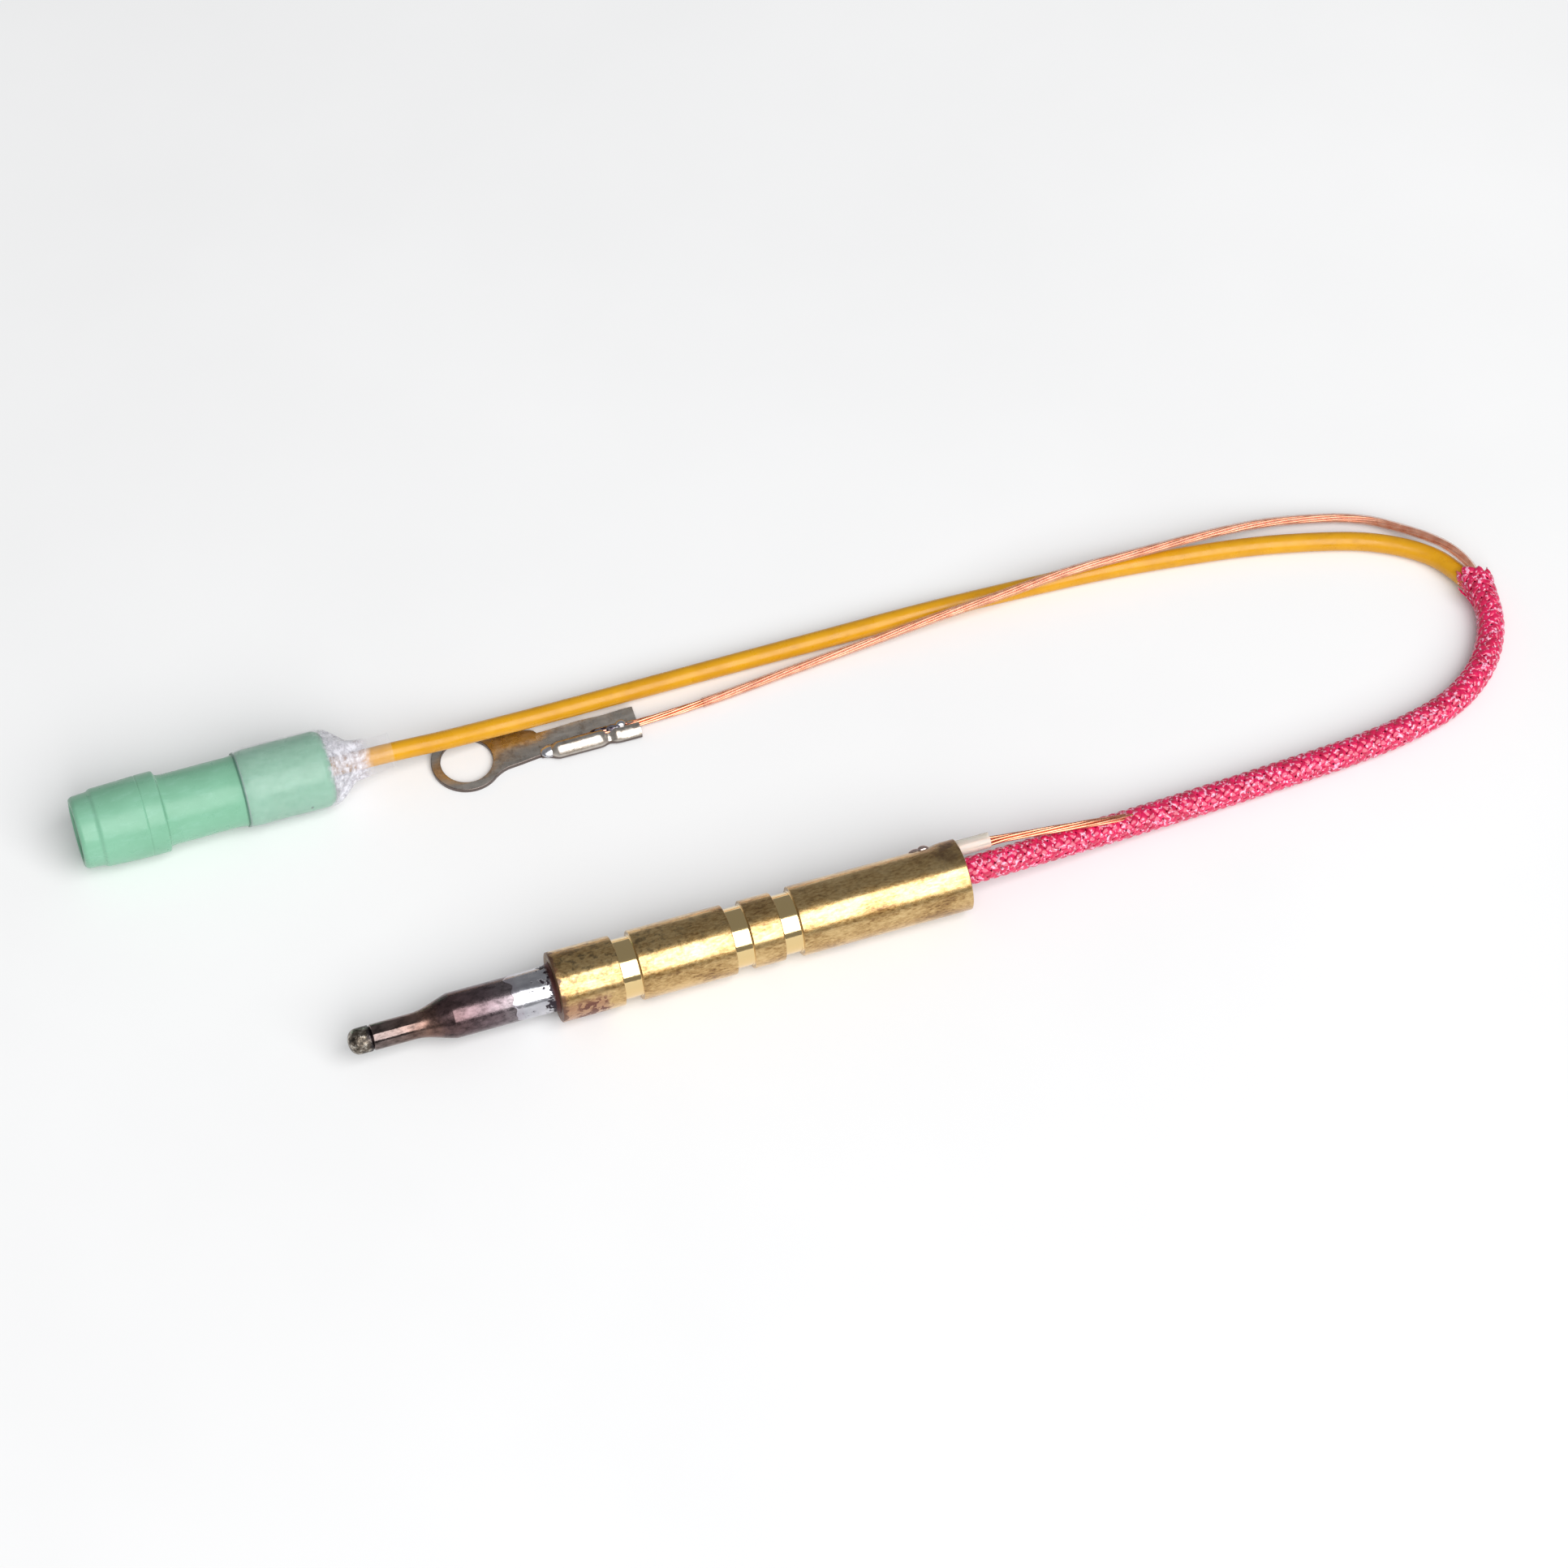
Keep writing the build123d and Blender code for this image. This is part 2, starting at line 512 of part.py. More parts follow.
# --- Plug boot: moulded over the receptacle, open at the nose ---
with BuildPart() as plug_boot:
    with BuildSketch(PLUG_LINE):
        with BuildLine():
            Polyline(
                (PLUG_NOSE_X, 2.9), (PLUG_NOSE_X, 3.4), (-50.2, 3.6), (-48.5, 3.8), (-48.3, 4.0),
                (-43.7, 4.12), (-41.8, 4.12), (-41.4, 3.54), (-34.3, 3.54), (-32.8, 3.95),
                (-25.4, 3.95), (-24.8, 3.7), (-24.6, 3.3), (-24.6, 1.15), (-29.3, 1.15),
                (-29.3, 1.3), (-36.2, 1.3), (-36.2, SOCKET_R + 0.55),
                (-47.6, SOCKET_R + 0.55), (-47.6, 2.9),
                close=True,
            )
        make_face()
    revolve(axis=PLUG_AXIS)
plug_boot.part.label = "plug_boot"
export_step(plug_boot.part, "parts/plug_boot.step")

# --- Plug's clear sleeve: shrunk over the boot's rear, then necked down to a tail round the lead ---
with BuildPart() as plug_shrink_sleeve:
    with BuildSketch(PLUG_LINE):
        with BuildLine():
            Polyline(
                (-33.8, 3.677), (-33.8, 3.9), (-32.8, 4.2), (-26.5, 4.2), (-24.95, 4.05),
                (-24.15, 3.6), (-23.3, 3.0), (-22.5, 2.5), (-21.6, 2.05), (-20.8, 1.88),
                (PLUG_TAIL_X, 1.88), (PLUG_TAIL_X, 1.65), (-20.7, 1.65), (-21.5, 1.83),
                (-22.4, 2.28), (-23.2, 2.78), (-24.2, 3.45), (-24.6, 3.75), (-25.4, 3.95),
                (-32.8, 3.95),
                close=True,
            )
        make_face()
    revolve(axis=PLUG_AXIS)
plug_shrink_sleeve.part.label = "plug_shrink_sleeve"
export_step(plug_shrink_sleeve.part, "parts/plug_shrink_sleeve.step")
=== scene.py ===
import json
import math
import random

import bpy
import numpy as np
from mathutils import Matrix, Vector


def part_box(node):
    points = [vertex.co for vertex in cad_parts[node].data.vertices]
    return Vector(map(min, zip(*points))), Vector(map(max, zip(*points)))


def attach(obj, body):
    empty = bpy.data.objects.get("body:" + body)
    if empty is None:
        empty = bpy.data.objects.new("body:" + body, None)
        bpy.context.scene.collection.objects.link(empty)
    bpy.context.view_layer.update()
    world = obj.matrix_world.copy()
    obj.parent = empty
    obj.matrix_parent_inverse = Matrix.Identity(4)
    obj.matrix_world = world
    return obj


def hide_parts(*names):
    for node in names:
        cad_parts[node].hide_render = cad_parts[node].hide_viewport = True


# A gas-burner thermocouple. Everything is in metres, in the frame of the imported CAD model.
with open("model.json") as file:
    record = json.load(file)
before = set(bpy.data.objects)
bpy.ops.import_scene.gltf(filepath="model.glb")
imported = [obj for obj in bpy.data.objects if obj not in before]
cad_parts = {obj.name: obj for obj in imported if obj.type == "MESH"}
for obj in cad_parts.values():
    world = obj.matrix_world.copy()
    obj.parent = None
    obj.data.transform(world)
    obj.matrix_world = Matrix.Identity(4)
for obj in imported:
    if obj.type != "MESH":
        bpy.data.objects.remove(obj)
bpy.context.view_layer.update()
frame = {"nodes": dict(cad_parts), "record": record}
scene = bpy.context.scene
scene.view_settings.view_transform = "Standard"
MM = 0.001
TAU = 2 * math.pi

# --- Sizes read from the frame ---
mounts = {m["name"]: m for m in frame["record"]["mounts"]}
body_low, body_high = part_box("brass_body")
boot_low, boot_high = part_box("plug_boot")
shrink_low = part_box("plug_shrink_sleeve")[0]
braze_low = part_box("front_braze")[0]
liner_low, liner_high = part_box("return_lead_liner")
terminal_low, terminal_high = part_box("ring_terminal")
sheath_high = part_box("probe_sheath")[1]

BODY_R = mounts["body_barrel"]["dims"]["r_mm"] * MM
BODY_AXIS = (0.0, BODY_R)
RING_R = 3.42 * MM  # the slightly lower ring between the middle and rear grooves
BODY_BORE_R = 2.9 * MM
BODY_BORE_DEPTH = 16 * MM
SHANK_R = sheath_high.z - BODY_R
PLUG_AXIS = tuple(mounts["plug_socket"]["pos_m"][1:])
RETURN_EXIT = ((liner_low.y + liner_high.y) / 2, (liner_low.z + liner_high.z) / 2)
LINER_R = (liner_high.z - liner_low.z) / 2
exit_y, exit_z = RETURN_EXIT[0] - BODY_AXIS[0], RETURN_EXIT[1] - BODY_AXIS[1]
EXIT_REACH, EXIT_ANGLE = math.hypot(exit_y, exit_z), math.atan2(exit_z, exit_y)
EYE_X, EYE_Y = mounts["ring_terminal_eye"]["pos_m"][:2]
EYE_HOLE_R = mounts["ring_terminal_eye"]["dims"]["r_mm"] * MM
TIN_SHEET = 0.5 * MM

# The leads' outer radii
SLEEVE_R = 1.45 * MM
INSULATION_R = 0.975 * MM
RETURN_SLEEVE_R = 0.525 * MM
IN_SLEEVE = 0.6 * MM  # the return wire's height over the middle of the sleeve it runs in

# --- The leads' routes, point by point ---
SLEEVE_ROUTE = [
    (0.0235, 0.0003, 0.0034), (0.0305, 0.0003, 0.0034), (0.0375, 0.0005, 0.0033),
    (0.0445, 0.0011, 0.0026), (0.0515, 0.0018, 0.0018), (0.0590, 0.0023, 0.0015),
    (0.0665, 0.0027, 0.0015), (0.0735, 0.0031, 0.0015), (0.0798, 0.0039, 0.0015),
    (0.0856, 0.0054, 0.0015), (0.0901, 0.0085, 0.0015), (0.0927, 0.0122, 0.0015),
    (0.0939, 0.0159, 0.0016), (0.09385, 0.0204, 0.0019),
]
CORE_ROUTE = [
    (0.0933, 0.0190, 0.0014), (0.0924, 0.0213, 0.0013), (0.0912, 0.0237, 0.0010),
    (0.0885, 0.0260, 0.0010), (0.0848, 0.0280, 0.0010), (0.0798, 0.0295, 0.0010),
    (0.0738, 0.0309, 0.0010), (0.0666, 0.0319, 0.0010), (0.0580, 0.0328, 0.0010),
    (0.0485, 0.0332, 0.0010), (0.0380, 0.0335, 0.0010), (0.0275, 0.0334, 0.0010),
    (0.0170, 0.0333, 0.0011), (0.00655, 0.03305, 0.00135), (-0.00325, 0.0328, 0.00162),
    (-0.0080, 0.0326, 0.0020), (-0.0129, 0.0318, 0.0032), (-0.0177, 0.0315, 0.0040),
    (-0.0225, 0.0315, 0.0041), (-0.0292, 0.0316, 0.0042),
]
RETURN_START = [
    (0.0261, 0.0021, 0.00515), (0.0336, 0.0021, 0.00515), (0.0400, 0.0016, 0.00485),
    (0.0450, 0.0013, 0.0044),
]
RETURN_ROUTE = [
    (0.0938, 0.0194, 0.0026), (0.0931, 0.0221, 0.00275), (0.0918, 0.0249, 0.00215),
    (0.0894, 0.0280, 0.0012), (0.0860, 0.0308, 0.0009), (0.0812, 0.0323, 0.0010),
    (0.0754, 0.0331, 0.0015), (0.0690, 0.0329, 0.0023), (0.0622, 0.0325, 0.0028),
    (0.0545, 0.0325, 0.00295), (0.0470, 0.0318, 0.0028), (0.0395, 0.0316, 0.0022),
    (0.0320, 0.0314, 0.0012), (0.0235, 0.03085, 0.00075), (0.0140, 0.02975, 0.00075),
    (0.0065, 0.0293, 0.0009), (-0.0005, 0.0293, 0.0009),
]
CLEAR_SLEEVE_POINTS = 15  # the clear sleeve covers this many of the return route's points


# --- Curves and meshes ---


def smooth_route(name, points):
    """The smooth line that a route's points control, as an array of points."""
    data = bpy.data.curves.new(name + "_line", "CURVE")
    data.dimensions = "3D"
    data.resolution_u = 24
    line = data.splines.new("NURBS")
    line.points.add(len(points) - 1)
    for point, place in zip(line.points, points):
        point.co = (*place, 1.0)
    line.order_u = 3
    line.use_endpoint_u = True
    carrier = bpy.data.objects.new(name + "_line", data)
    drawn = bpy.data.meshes.new_from_object(carrier)
    path = np.array([v.co for v in drawn.vertices], float)
    bpy.data.objects.remove(carrier)
    bpy.data.meshes.remove(drawn)
    return path


def along(path):
    """The distance of each point of a path from its start."""
    steps = np.linalg.norm(np.diff(path, axis=0), axis=1)
    return np.concatenate([[0.0], np.cumsum(steps)])


def spaced(path, step):
    """The same line at even steps, with each point's distance from the start."""
    distance = along(path)
    count = max(2, int(round(distance[-1] / step)) + 1)
    marks = np.linspace(0, distance[-1], count)
    points = np.stack([np.interp(marks, distance, path[:, k]) for k in range(3)], axis=1)
    return points, marks


def directions(path):
    """For each point of a level path: its way, its side and its up."""
    way = np.gradient(path, axis=0)
    way /= np.linalg.norm(way, axis=1)[:, None]
    side = np.cross(way, (0.0, 0.0, 1.0))
    side /= np.linalg.norm(side, axis=1)[:, None]
    return way, side, np.cross(side, way)


def grid_faces(rows, columns, start=0):
    """Quads between rows of points, each row closed on itself."""
    faces = []
    for i in range(rows - 1):
        for j in range(columns):
            k = (j + 1) % columns
            a, b = start + i * columns, start + (i + 1) * columns
            faces.append((a + j, a + k, b + k, b + j))
    return faces


def looped_faces(rows, columns):
    """The same quads, and the last row joined to the first."""
    last = (rows - 1) * columns
    joint = [(last + j, last + (j + 1) % columns, (j + 1) % columns, j) for j in range(columns)]
    return grid_faces(rows, columns) + joint


def capped_faces(rows, columns, start=0):
    """The same quads, and a flat cap on the first row and on the last."""
    end = start + (rows - 1) * columns
    first_cap = tuple(start + j for j in range(columns))
    last_cap = tuple(end + j for j in reversed(range(columns)))
    return grid_faces(rows, columns, start) + [first_cap, last_cap]


def join(vertices, faces, mesh):
    """Add a mesh's vertices and faces to the lists of a larger one."""
    start = len(vertices)
    vertices += [tuple(v) for v in mesh[0]]
    faces += [tuple(start + j for j in f) for f in mesh[1]]


def around(axis, x, reach, angle):
    """A point at a distance from an axis along X, in the direction of an angle."""
    return (x, axis[0] + reach * math.cos(angle), axis[1] + reach * math.sin(angle))


def piece(name, vertices, faces, material):
    """A mesh piece that rides on the body, with its material."""
    mesh = bpy.data.meshes.new(name)
    mesh.from_pydata([tuple(v) for v in vertices], [], faces)
    mesh.validate()
    mesh.shade_smooth()
    obj = bpy.data.objects.new(name, mesh)
    scene.collection.objects.link(obj)
    obj.data.materials.append(material)
    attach(obj, "root")
    return obj


def crisp(obj, degrees):
    """Keep the edges sharper than this angle crisp."""
    split = obj.modifiers.new("edges", "EDGE_SPLIT")
    split.split_angle = math.radians(degrees)


def rounded(points, radius, steps=4):
    """A profile with each corner rounded, and a point beside each arc to keep its shading crisp."""
    pts = [Vector(p) for p in points]
    out = []
    for i, corner in enumerate(pts):
        before = pts[i - 1] - corner
        after = pts[(i + 1) % len(pts)] - corner
        r = radius[i] if hasattr(radius, "__len__") else radius
        reach = min(r, 0.36 * before.length, 0.36 * after.length)
        start = corner + before.normalized() * reach
        end = corner + after.normalized() * reach
        out.append(corner + before.normalized() * reach * 1.3)
        for k in range(steps + 1):
            t = k / steps
            out.append((1 - t) ** 2 * start + 2 * t * (1 - t) * corner + t**2 * end)
        out.append(corner + after.normalized() * reach * 1.3)
    return [(p[0], p[1]) for p in out]


def divided(profile, low, high, step):
    """The same profile with its long edges divided where they lie between two places."""
    out = []
    for a, b in zip(profile, profile[1:] + profile[:1]):
        out.append(a)
        overlap = min(max(a[0], b[0]), high) - max(min(a[0], b[0]), low)
        if overlap > step:
            count = int(abs(b[0] - a[0]) / step)
            out += [
                (a[0] + (b[0] - a[0]) * k / count, a[1] + (b[1] - a[1]) * k / count)
                for k in range(1, count)
            ]
    return out


def turned(profile, axis, segments, swell):
    """Vertices and faces of a closed profile of (x, radius) turned round an axis along X.

    swell gives the radius at each x, plain radius and angle.
    """
    vertices = []
    for x, r in profile:
        for j in range(segments):
            angle = TAU * j / segments
            vertices.append(around(axis, x, swell(x, r, angle), angle))
    return vertices, looped_faces(len(profile), segments)


def hollow_faces(rows, sides):
    """Faces of a tube whose outer rings come first and inner rings after, closed at both ends."""
    shift, end = rows * sides, (rows - 1) * sides
    faces = grid_faces(rows, sides)
    faces += [tuple(reversed(f)) for f in grid_faces(rows, sides, start=shift)]
    for j in range(sides):
        k = (j + 1) % sides
        faces.append((j, shift + j, shift + k, k))
        faces.append((end + j, end + k, end + shift + k, end + shift + j))
    return faces


def tube(path, radius, sides, bore=None):
    """Vertices and faces of a tube round a path: hollow with a bore, and capped without one."""
    _, side, up = directions(path)
    angles = np.arange(sides) * TAU / sides
    rings = []
    for reach in [radius] if bore is None else [radius, bore]:
        ring = (
            path[:, None, :]
            + reach * np.cos(angles)[None, :, None] * side[:, None, :]
            + reach * np.sin(angles)[None, :, None] * up[:, None, :]
        )
        rings.append(ring.reshape(-1, 3))
    if bore is not None:
        return np.concatenate(rings), hollow_faces(len(path), sides)
    return rings[0], capped_faces(len(path), sides)


# --- Materials ---
# Places in them are in millimetres in the frame: along X the tip is at -31, the end of the rod
# at -25, the body from -11 to 31, and the boot from -50 to -25. The body's axis is at z = 3.5.


class Paint:
    """A material's nodes, with short ways to add the usual ones."""

    def __init__(self, name, **constants):
        self.material = bpy.data.materials.new(name)
        self.material.use_nodes = True
        self.tree = self.material.node_tree
        self.shader = self.tree.nodes["Principled BSDF"]
        for key, value in constants.items():
            self.shader.inputs[key.replace("_", " ")].default_value = value
        self.place = self.tree.nodes.new("ShaderNodeTexCoord").outputs["Object"]

    def feed(self, socket, value):
        """Link a socket to a node's output, or give it a number or colour."""
        if hasattr(value, "is_output"):
            self.tree.links.new(value, socket)
        else:
            socket.default_value = (*value, 1) if hasattr(value, "__len__") else value

    def node(self, kind, **inputs):
        made = self.tree.nodes.new("ShaderNode" + kind)
        for key, value in inputs.items():
            self.feed(made.inputs[key.replace("_", " ")], value)
        return made

    def stretched(self, sx, sy, sz):
        """The place, in millimetres, stretched along each axis."""
        mapping = self.node("Mapping", Vector=self.place)
        mapping.inputs["Scale"].default_value = (1000 * sx, 1000 * sy, 1000 * sz)
        return mapping.outputs["Vector"]

    def noise(self, scale, detail=4.0, roughness=0.55, place=None, distortion=0.0):
        place = place or self.stretched(1, 1, 1)
        made = self.node(
            "TexNoise", Vector=place, Scale=scale, Detail=detail, Roughness=roughness,
            Distortion=distortion,
        )
        return made.outputs["Fac"]

    def ramp(self, value, *stops):
        """A colour ramp through (position, colour) stops. A colour may be one grey number."""
        made = self.tree.nodes.new("ShaderNodeValToRGB")
        self.tree.links.new(value, made.inputs["Fac"])
        elements = made.color_ramp.elements
        while len(elements) < len(stops):
            elements.new(0.5)
        for element, (position, colour) in zip(elements, stops):
            element.position = position
            grey = not hasattr(colour, "__len__")
            element.color = (colour, colour, colour, 1) if grey else (*colour, 1)
        return made.outputs["Color"]

    def fade(self, noise, a, b):
        """From one colour or grey to another as a noise rises."""
        return self.ramp(noise, (0.3, a), (0.7, b))

    def mix(self, factor, a, b, mode="MIX"):
        made = self.tree.nodes.new("ShaderNodeMix")
        made.data_type = "RGBA"
        made.blend_type = mode
        for index, value in ((0, factor), (6, a), (7, b)):
            self.feed(made.inputs[index], value)
        return made.outputs[2]

    def sums(self, operation, a, b=0.0):
        made = self.tree.nodes.new("ShaderNodeMath")
        made.operation = operation
        self.feed(made.inputs[0], a)
        self.feed(made.inputs[1], b)
        return made.outputs[0]

    def times(self, a, b):
        return self.sums("MULTIPLY", a, b)

    def plus(self, a, b):
        return self.sums("ADD", a, b)

    def minus(self, a, b):
        return self.sums("SUBTRACT", a, b)

    def inverse(self, a):
        return self.minus(1.0, a)

    def ragged(self, place, noise, depth):
        """A place pushed to and fro by noise, for edges that aren't straight."""
        return self.plus(place, self.times(self.minus(noise, 0.5), depth))

    def part(self, axis):
        """One coordinate of the place, in millimetres."""
        split = self.node("SeparateXYZ", Vector=self.place)
        return self.times(split.outputs[axis], 1000.0)

    def step(self, value, low, high):
        """0 below low, 1 above high, and smooth between."""
        made = self.tree.nodes.new("ShaderNodeMapRange")
        made.interpolation_type = "SMOOTHSTEP"
        self.tree.links.new(value, made.inputs["Value"])
        made.inputs["From Min"].default_value = low
        made.inputs["From Max"].default_value = high
        return made.outputs["Result"]

    def bump(self, height, strength, distance):
        made = self.node("Bump", Height=height, Strength=strength, Distance=distance * MM)
        if self.shader.inputs["Normal"].is_linked:
            link = self.shader.inputs["Normal"].links[0]
            self.tree.links.new(link.from_socket, made.inputs["Normal"])
        self.tree.links.new(made.outputs["Normal"], self.shader.inputs["Normal"])

    def set(self, socket, value):
        self.tree.links.new(value, self.shader.inputs[socket])


def brass_paint():
    """Turned brass: gold under a brown patina, bright in its grooves, flux-stained in front."""
    p = Paint("brass_paint", Metallic=1.0, Coat_Weight=0.35, Coat_Roughness=0.12, Coat_IOR=1.8)
    grain = p.noise(4.6, 4, 0.68, p.stretched(0.4, 1.0, 1.0))
    clouds = p.noise(0.5, 5, 0.62, p.stretched(0.4, 1.0, 1.0))
    patina = p.plus(p.times(grain, 0.48), p.times(clouds, 0.52))
    colour = p.ramp(
        patina, (0.37, (0.20, 0.098, 0.028)), (0.45, (0.43, 0.255, 0.085)),
        (0.54, (0.64, 0.43, 0.18)), (0.66, (0.80, 0.58, 0.28)),
    )
    # bright grooves
    x, y, z = p.part("X"), p.part("Y"), p.part("Z")
    height = p.minus(z, BODY_R / MM)
    radius = p.sums("SQRT", p.plus(p.times(y, y), p.times(height, height)))
    in_groove = p.inverse(p.step(radius, 3.05, 3.25))
    colour = p.mix(in_groove, colour, (0.80, 0.59, 0.27))
    # dark green-brown patches on the upper side of the front half, fading towards the rear, so the
    # body is darker towards the top
    patches = p.ramp(p.noise(1.3, 5, 0.7), (0.50, 0.0), (0.62, 1.0))
    fading = p.inverse(p.step(x, -4.0, 14.0))
    upper = p.step(p.minus(z, p.times(y, -0.35)), 3.0, 6.0)
    patches = p.times(p.times(patches, p.sums("MAXIMUM", fading, 0.30)), upper)
    land = p.step(radius, 3.2, 3.4)
    patches = p.times(patches, land)
    colour = p.mix(p.times(patches, 0.7), colour, (0.11, 0.075, 0.03))
    # the soldering stain: red-brown scum low on the front collar, a pink wash beside it, a dark rim
    ragged = p.ragged(x, p.noise(1.1, 5, 0.65), 3.0)
    low = p.inverse(p.step(p.plus(z, p.times(y, 1.1)), 0.4, 2.0))
    wash = p.times(p.inverse(p.step(ragged, -6.8, -5.6)), low)
    colour = p.mix(p.times(wash, 0.7), colour, (0.42, 0.20, 0.13))
    scum = p.ramp(p.noise(1.5, 3, 0.55), (0.44, 0.0), (0.52, 1.0))
    scum = p.times(p.times(scum, wash), p.step(x, -9.9, -8.9))
    colour = p.mix(p.times(scum, 0.9), colour, (0.16, 0.045, 0.03))
    rim = p.inverse(p.step(ragged, -10.75, -10.2))
    colour = p.mix(p.times(rim, 0.8), colour, (0.12, 0.05, 0.035))
    # brown scorch round the return lead's exit
    exit_side = p.step(p.plus(z, p.times(y, 0.8)), 5.6, 7.4)
    behind = p.times(p.step(x, 26.5, 30.0), exit_side)
    scorch = p.times(behind, p.ramp(p.noise(0.8, 4), (0.35, 1.0), (0.62, 0.25)))
    colour = p.mix(scorch, colour, (0.17, 0.085, 0.035))
    p.set("Base Color", colour)
    dull = p.ramp(clouds, (0.36, 0.33), (0.6, 0.20))
    dull = p.mix(in_groove, dull, (0.10, 0.10, 0.10))
    p.set("Roughness", p.mix(p.sums("MAXIMUM", scum, rim), dull, (0.65, 0.65, 0.65)))
    p.bump(p.noise(6.0, 3, 0.6, p.stretched(0.3, 1, 1)), 0.10, 0.03)
    p.bump(p.times(p.noise(2.6, 3, 0.6), scum), 0.4, 0.12)
    return p.material


def tinted_steel_paint():
    """Steel tinted by the flame: brown on the rod, purple-brown on the shank, mottled."""
    p = Paint("tinted_steel_paint", Metallic=1.0)
    x = p.ragged(p.part("X"), p.noise(0.8, 4, 0.6), 3.0)
    share = p.step(x, -29.0, -11.0)
    colour = p.ramp(
        share, (0.0, (0.20, 0.155, 0.145)), (0.2, (0.25, 0.145, 0.115)), (0.34, (0.13, 0.08, 0.08)),
        (0.5, (0.165, 0.108, 0.115)), (0.7, (0.18, 0.132, 0.145)), (0.95, (0.29, 0.255, 0.27)),
    )
    mottle = p.noise(1.5, 6, 0.7, p.stretched(0.6, 1, 1))
    scale = p.ramp(mottle, (0.36, 0.42), (0.5, 0.85), (0.66, 1.15))
    p.set("Base Color", p.mix(1.0, colour, scale, "MULTIPLY"))
    rod = p.inverse(p.step(x, -25.6, -24.2))
    rough = p.fade(p.noise(2.2, 4, 0.65), 0.17, 0.34)
    p.set("Roughness", p.mix(rod, rough, (0.08, 0.08, 0.08)))
    p.bump(p.noise(3.5, 4, 0.65, p.stretched(0.5, 1, 1)), 0.22, 0.035)
    return p.material


def tip_paint():
    """The weld at the tip: dull grey-brown metal, lumpy, with bright worn spots and a dark rim."""
    p = Paint("tip_paint", Metallic=1.0)
    x = p.part("X")
    rim = p.step(p.plus(x, p.times(p.noise(2.0), 0.5)), -29.6, -28.9)
    lumps = p.noise(1.8, 4, 0.6)
    pale = p.ramp(
        lumps, (0.40, (0.05, 0.042, 0.035)), (0.54, (0.17, 0.14, 0.11)),
        (0.66, (0.52, 0.48, 0.42)),
    )
    p.set("Base Color", p.mix(rim, pale, (0.035, 0.03, 0.035)))
    p.set("Roughness", p.ramp(lumps, (0.38, 0.40), (0.6, 0.16)))
    p.bump(lumps, 0.55, 0.22)
    p.bump(p.noise(5.0, 3, 0.6), 0.2, 0.04)
    return p.material


def solder_paint(name, colour=(0.66, 0.66, 0.70), stain=(0.09, 0.055, 0.06), pits=0.30):
    """Silver solder: bright and flowed, with stained pits."""
    p = Paint(name, Metallic=1.0)
    flow = p.noise(0.9, 4, 0.6, distortion=0.6)
    dark = p.ramp(flow, (pits, 1.0), (pits + 0.06, 0.0))
    tone = p.ramp(p.noise(1.6, 4, 0.6), (0.3, 0.72), (0.6, 1.1))
    p.set("Base Color", p.mix(dark, p.mix(1.0, colour, tone, "MULTIPLY"), stain))
    p.set("Roughness", p.ramp(flow, (0.3, 0.40), (0.55, 0.16)))
    p.bump(flow, 0.35, 0.12)
    return p.material


def shank_solder_paint():
    """The solder on the shank: smooth, with black pits, and red-brown flux by the body's face."""
    p = Paint("shank_solder_paint", Metallic=1.0)
    x = p.part("X")
    near_face = p.step(x, -12.9, -11.0)
    flow = p.noise(1.5, 5, 0.65)
    pits = p.ramp(p.minus(flow, p.times(near_face, 0.17)), (0.335, 1.0), (0.375, 0.0))
    bands = p.noise(0.9, 4, 0.6, p.stretched(0.4, 1, 1))
    tone = p.ramp(bands, (0.3, (0.42, 0.42, 0.46)), (0.65, (0.66, 0.66, 0.70)))
    colour = p.mix(pits, tone, (0.05, 0.04, 0.05))
    flux = p.step(p.plus(x, p.times(flow, 0.9)), -10.95, -10.6)
    colour = p.mix(flux, colour, (0.11, 0.045, 0.04))
    front = p.inverse(p.step(p.plus(x, p.times(flow, 1.2)), -14.6, -13.4))
    p.set("Base Color", p.mix(p.times(front, 0.45), colour, (0.42, 0.34, 0.40)))
    smooth = p.ramp(flow, (0.3, 0.28), (0.6, 0.15))
    p.set("Roughness", p.mix(p.sums("MAXIMUM", pits, flux), smooth, (0.5, 0.5, 0.5)))
    p.bump(p.noise(0.8, 3, 0.5), 0.25, 0.10)
    p.bump(p.inverse(pits), 0.5, 0.08)
    return p.material


def copper_paint():
    """Drawn copper strands, darker and redder in patches along the wire."""
    p = Paint("copper_paint", Metallic=1.0)
    tone = p.noise(0.35, 4, 0.6)
    colour = p.ramp(
        tone, (0.3, (0.62, 0.22, 0.12)), (0.5, (0.84, 0.36, 0.22)), (0.7, (0.93, 0.48, 0.32))
    )
    p.set("Base Color", colour)
    p.set("Roughness", p.fade(p.noise(1.5), 0.14, 0.30))
    p.bump(p.noise(8.0, 2), 0.1, 0.02)
    return p.material


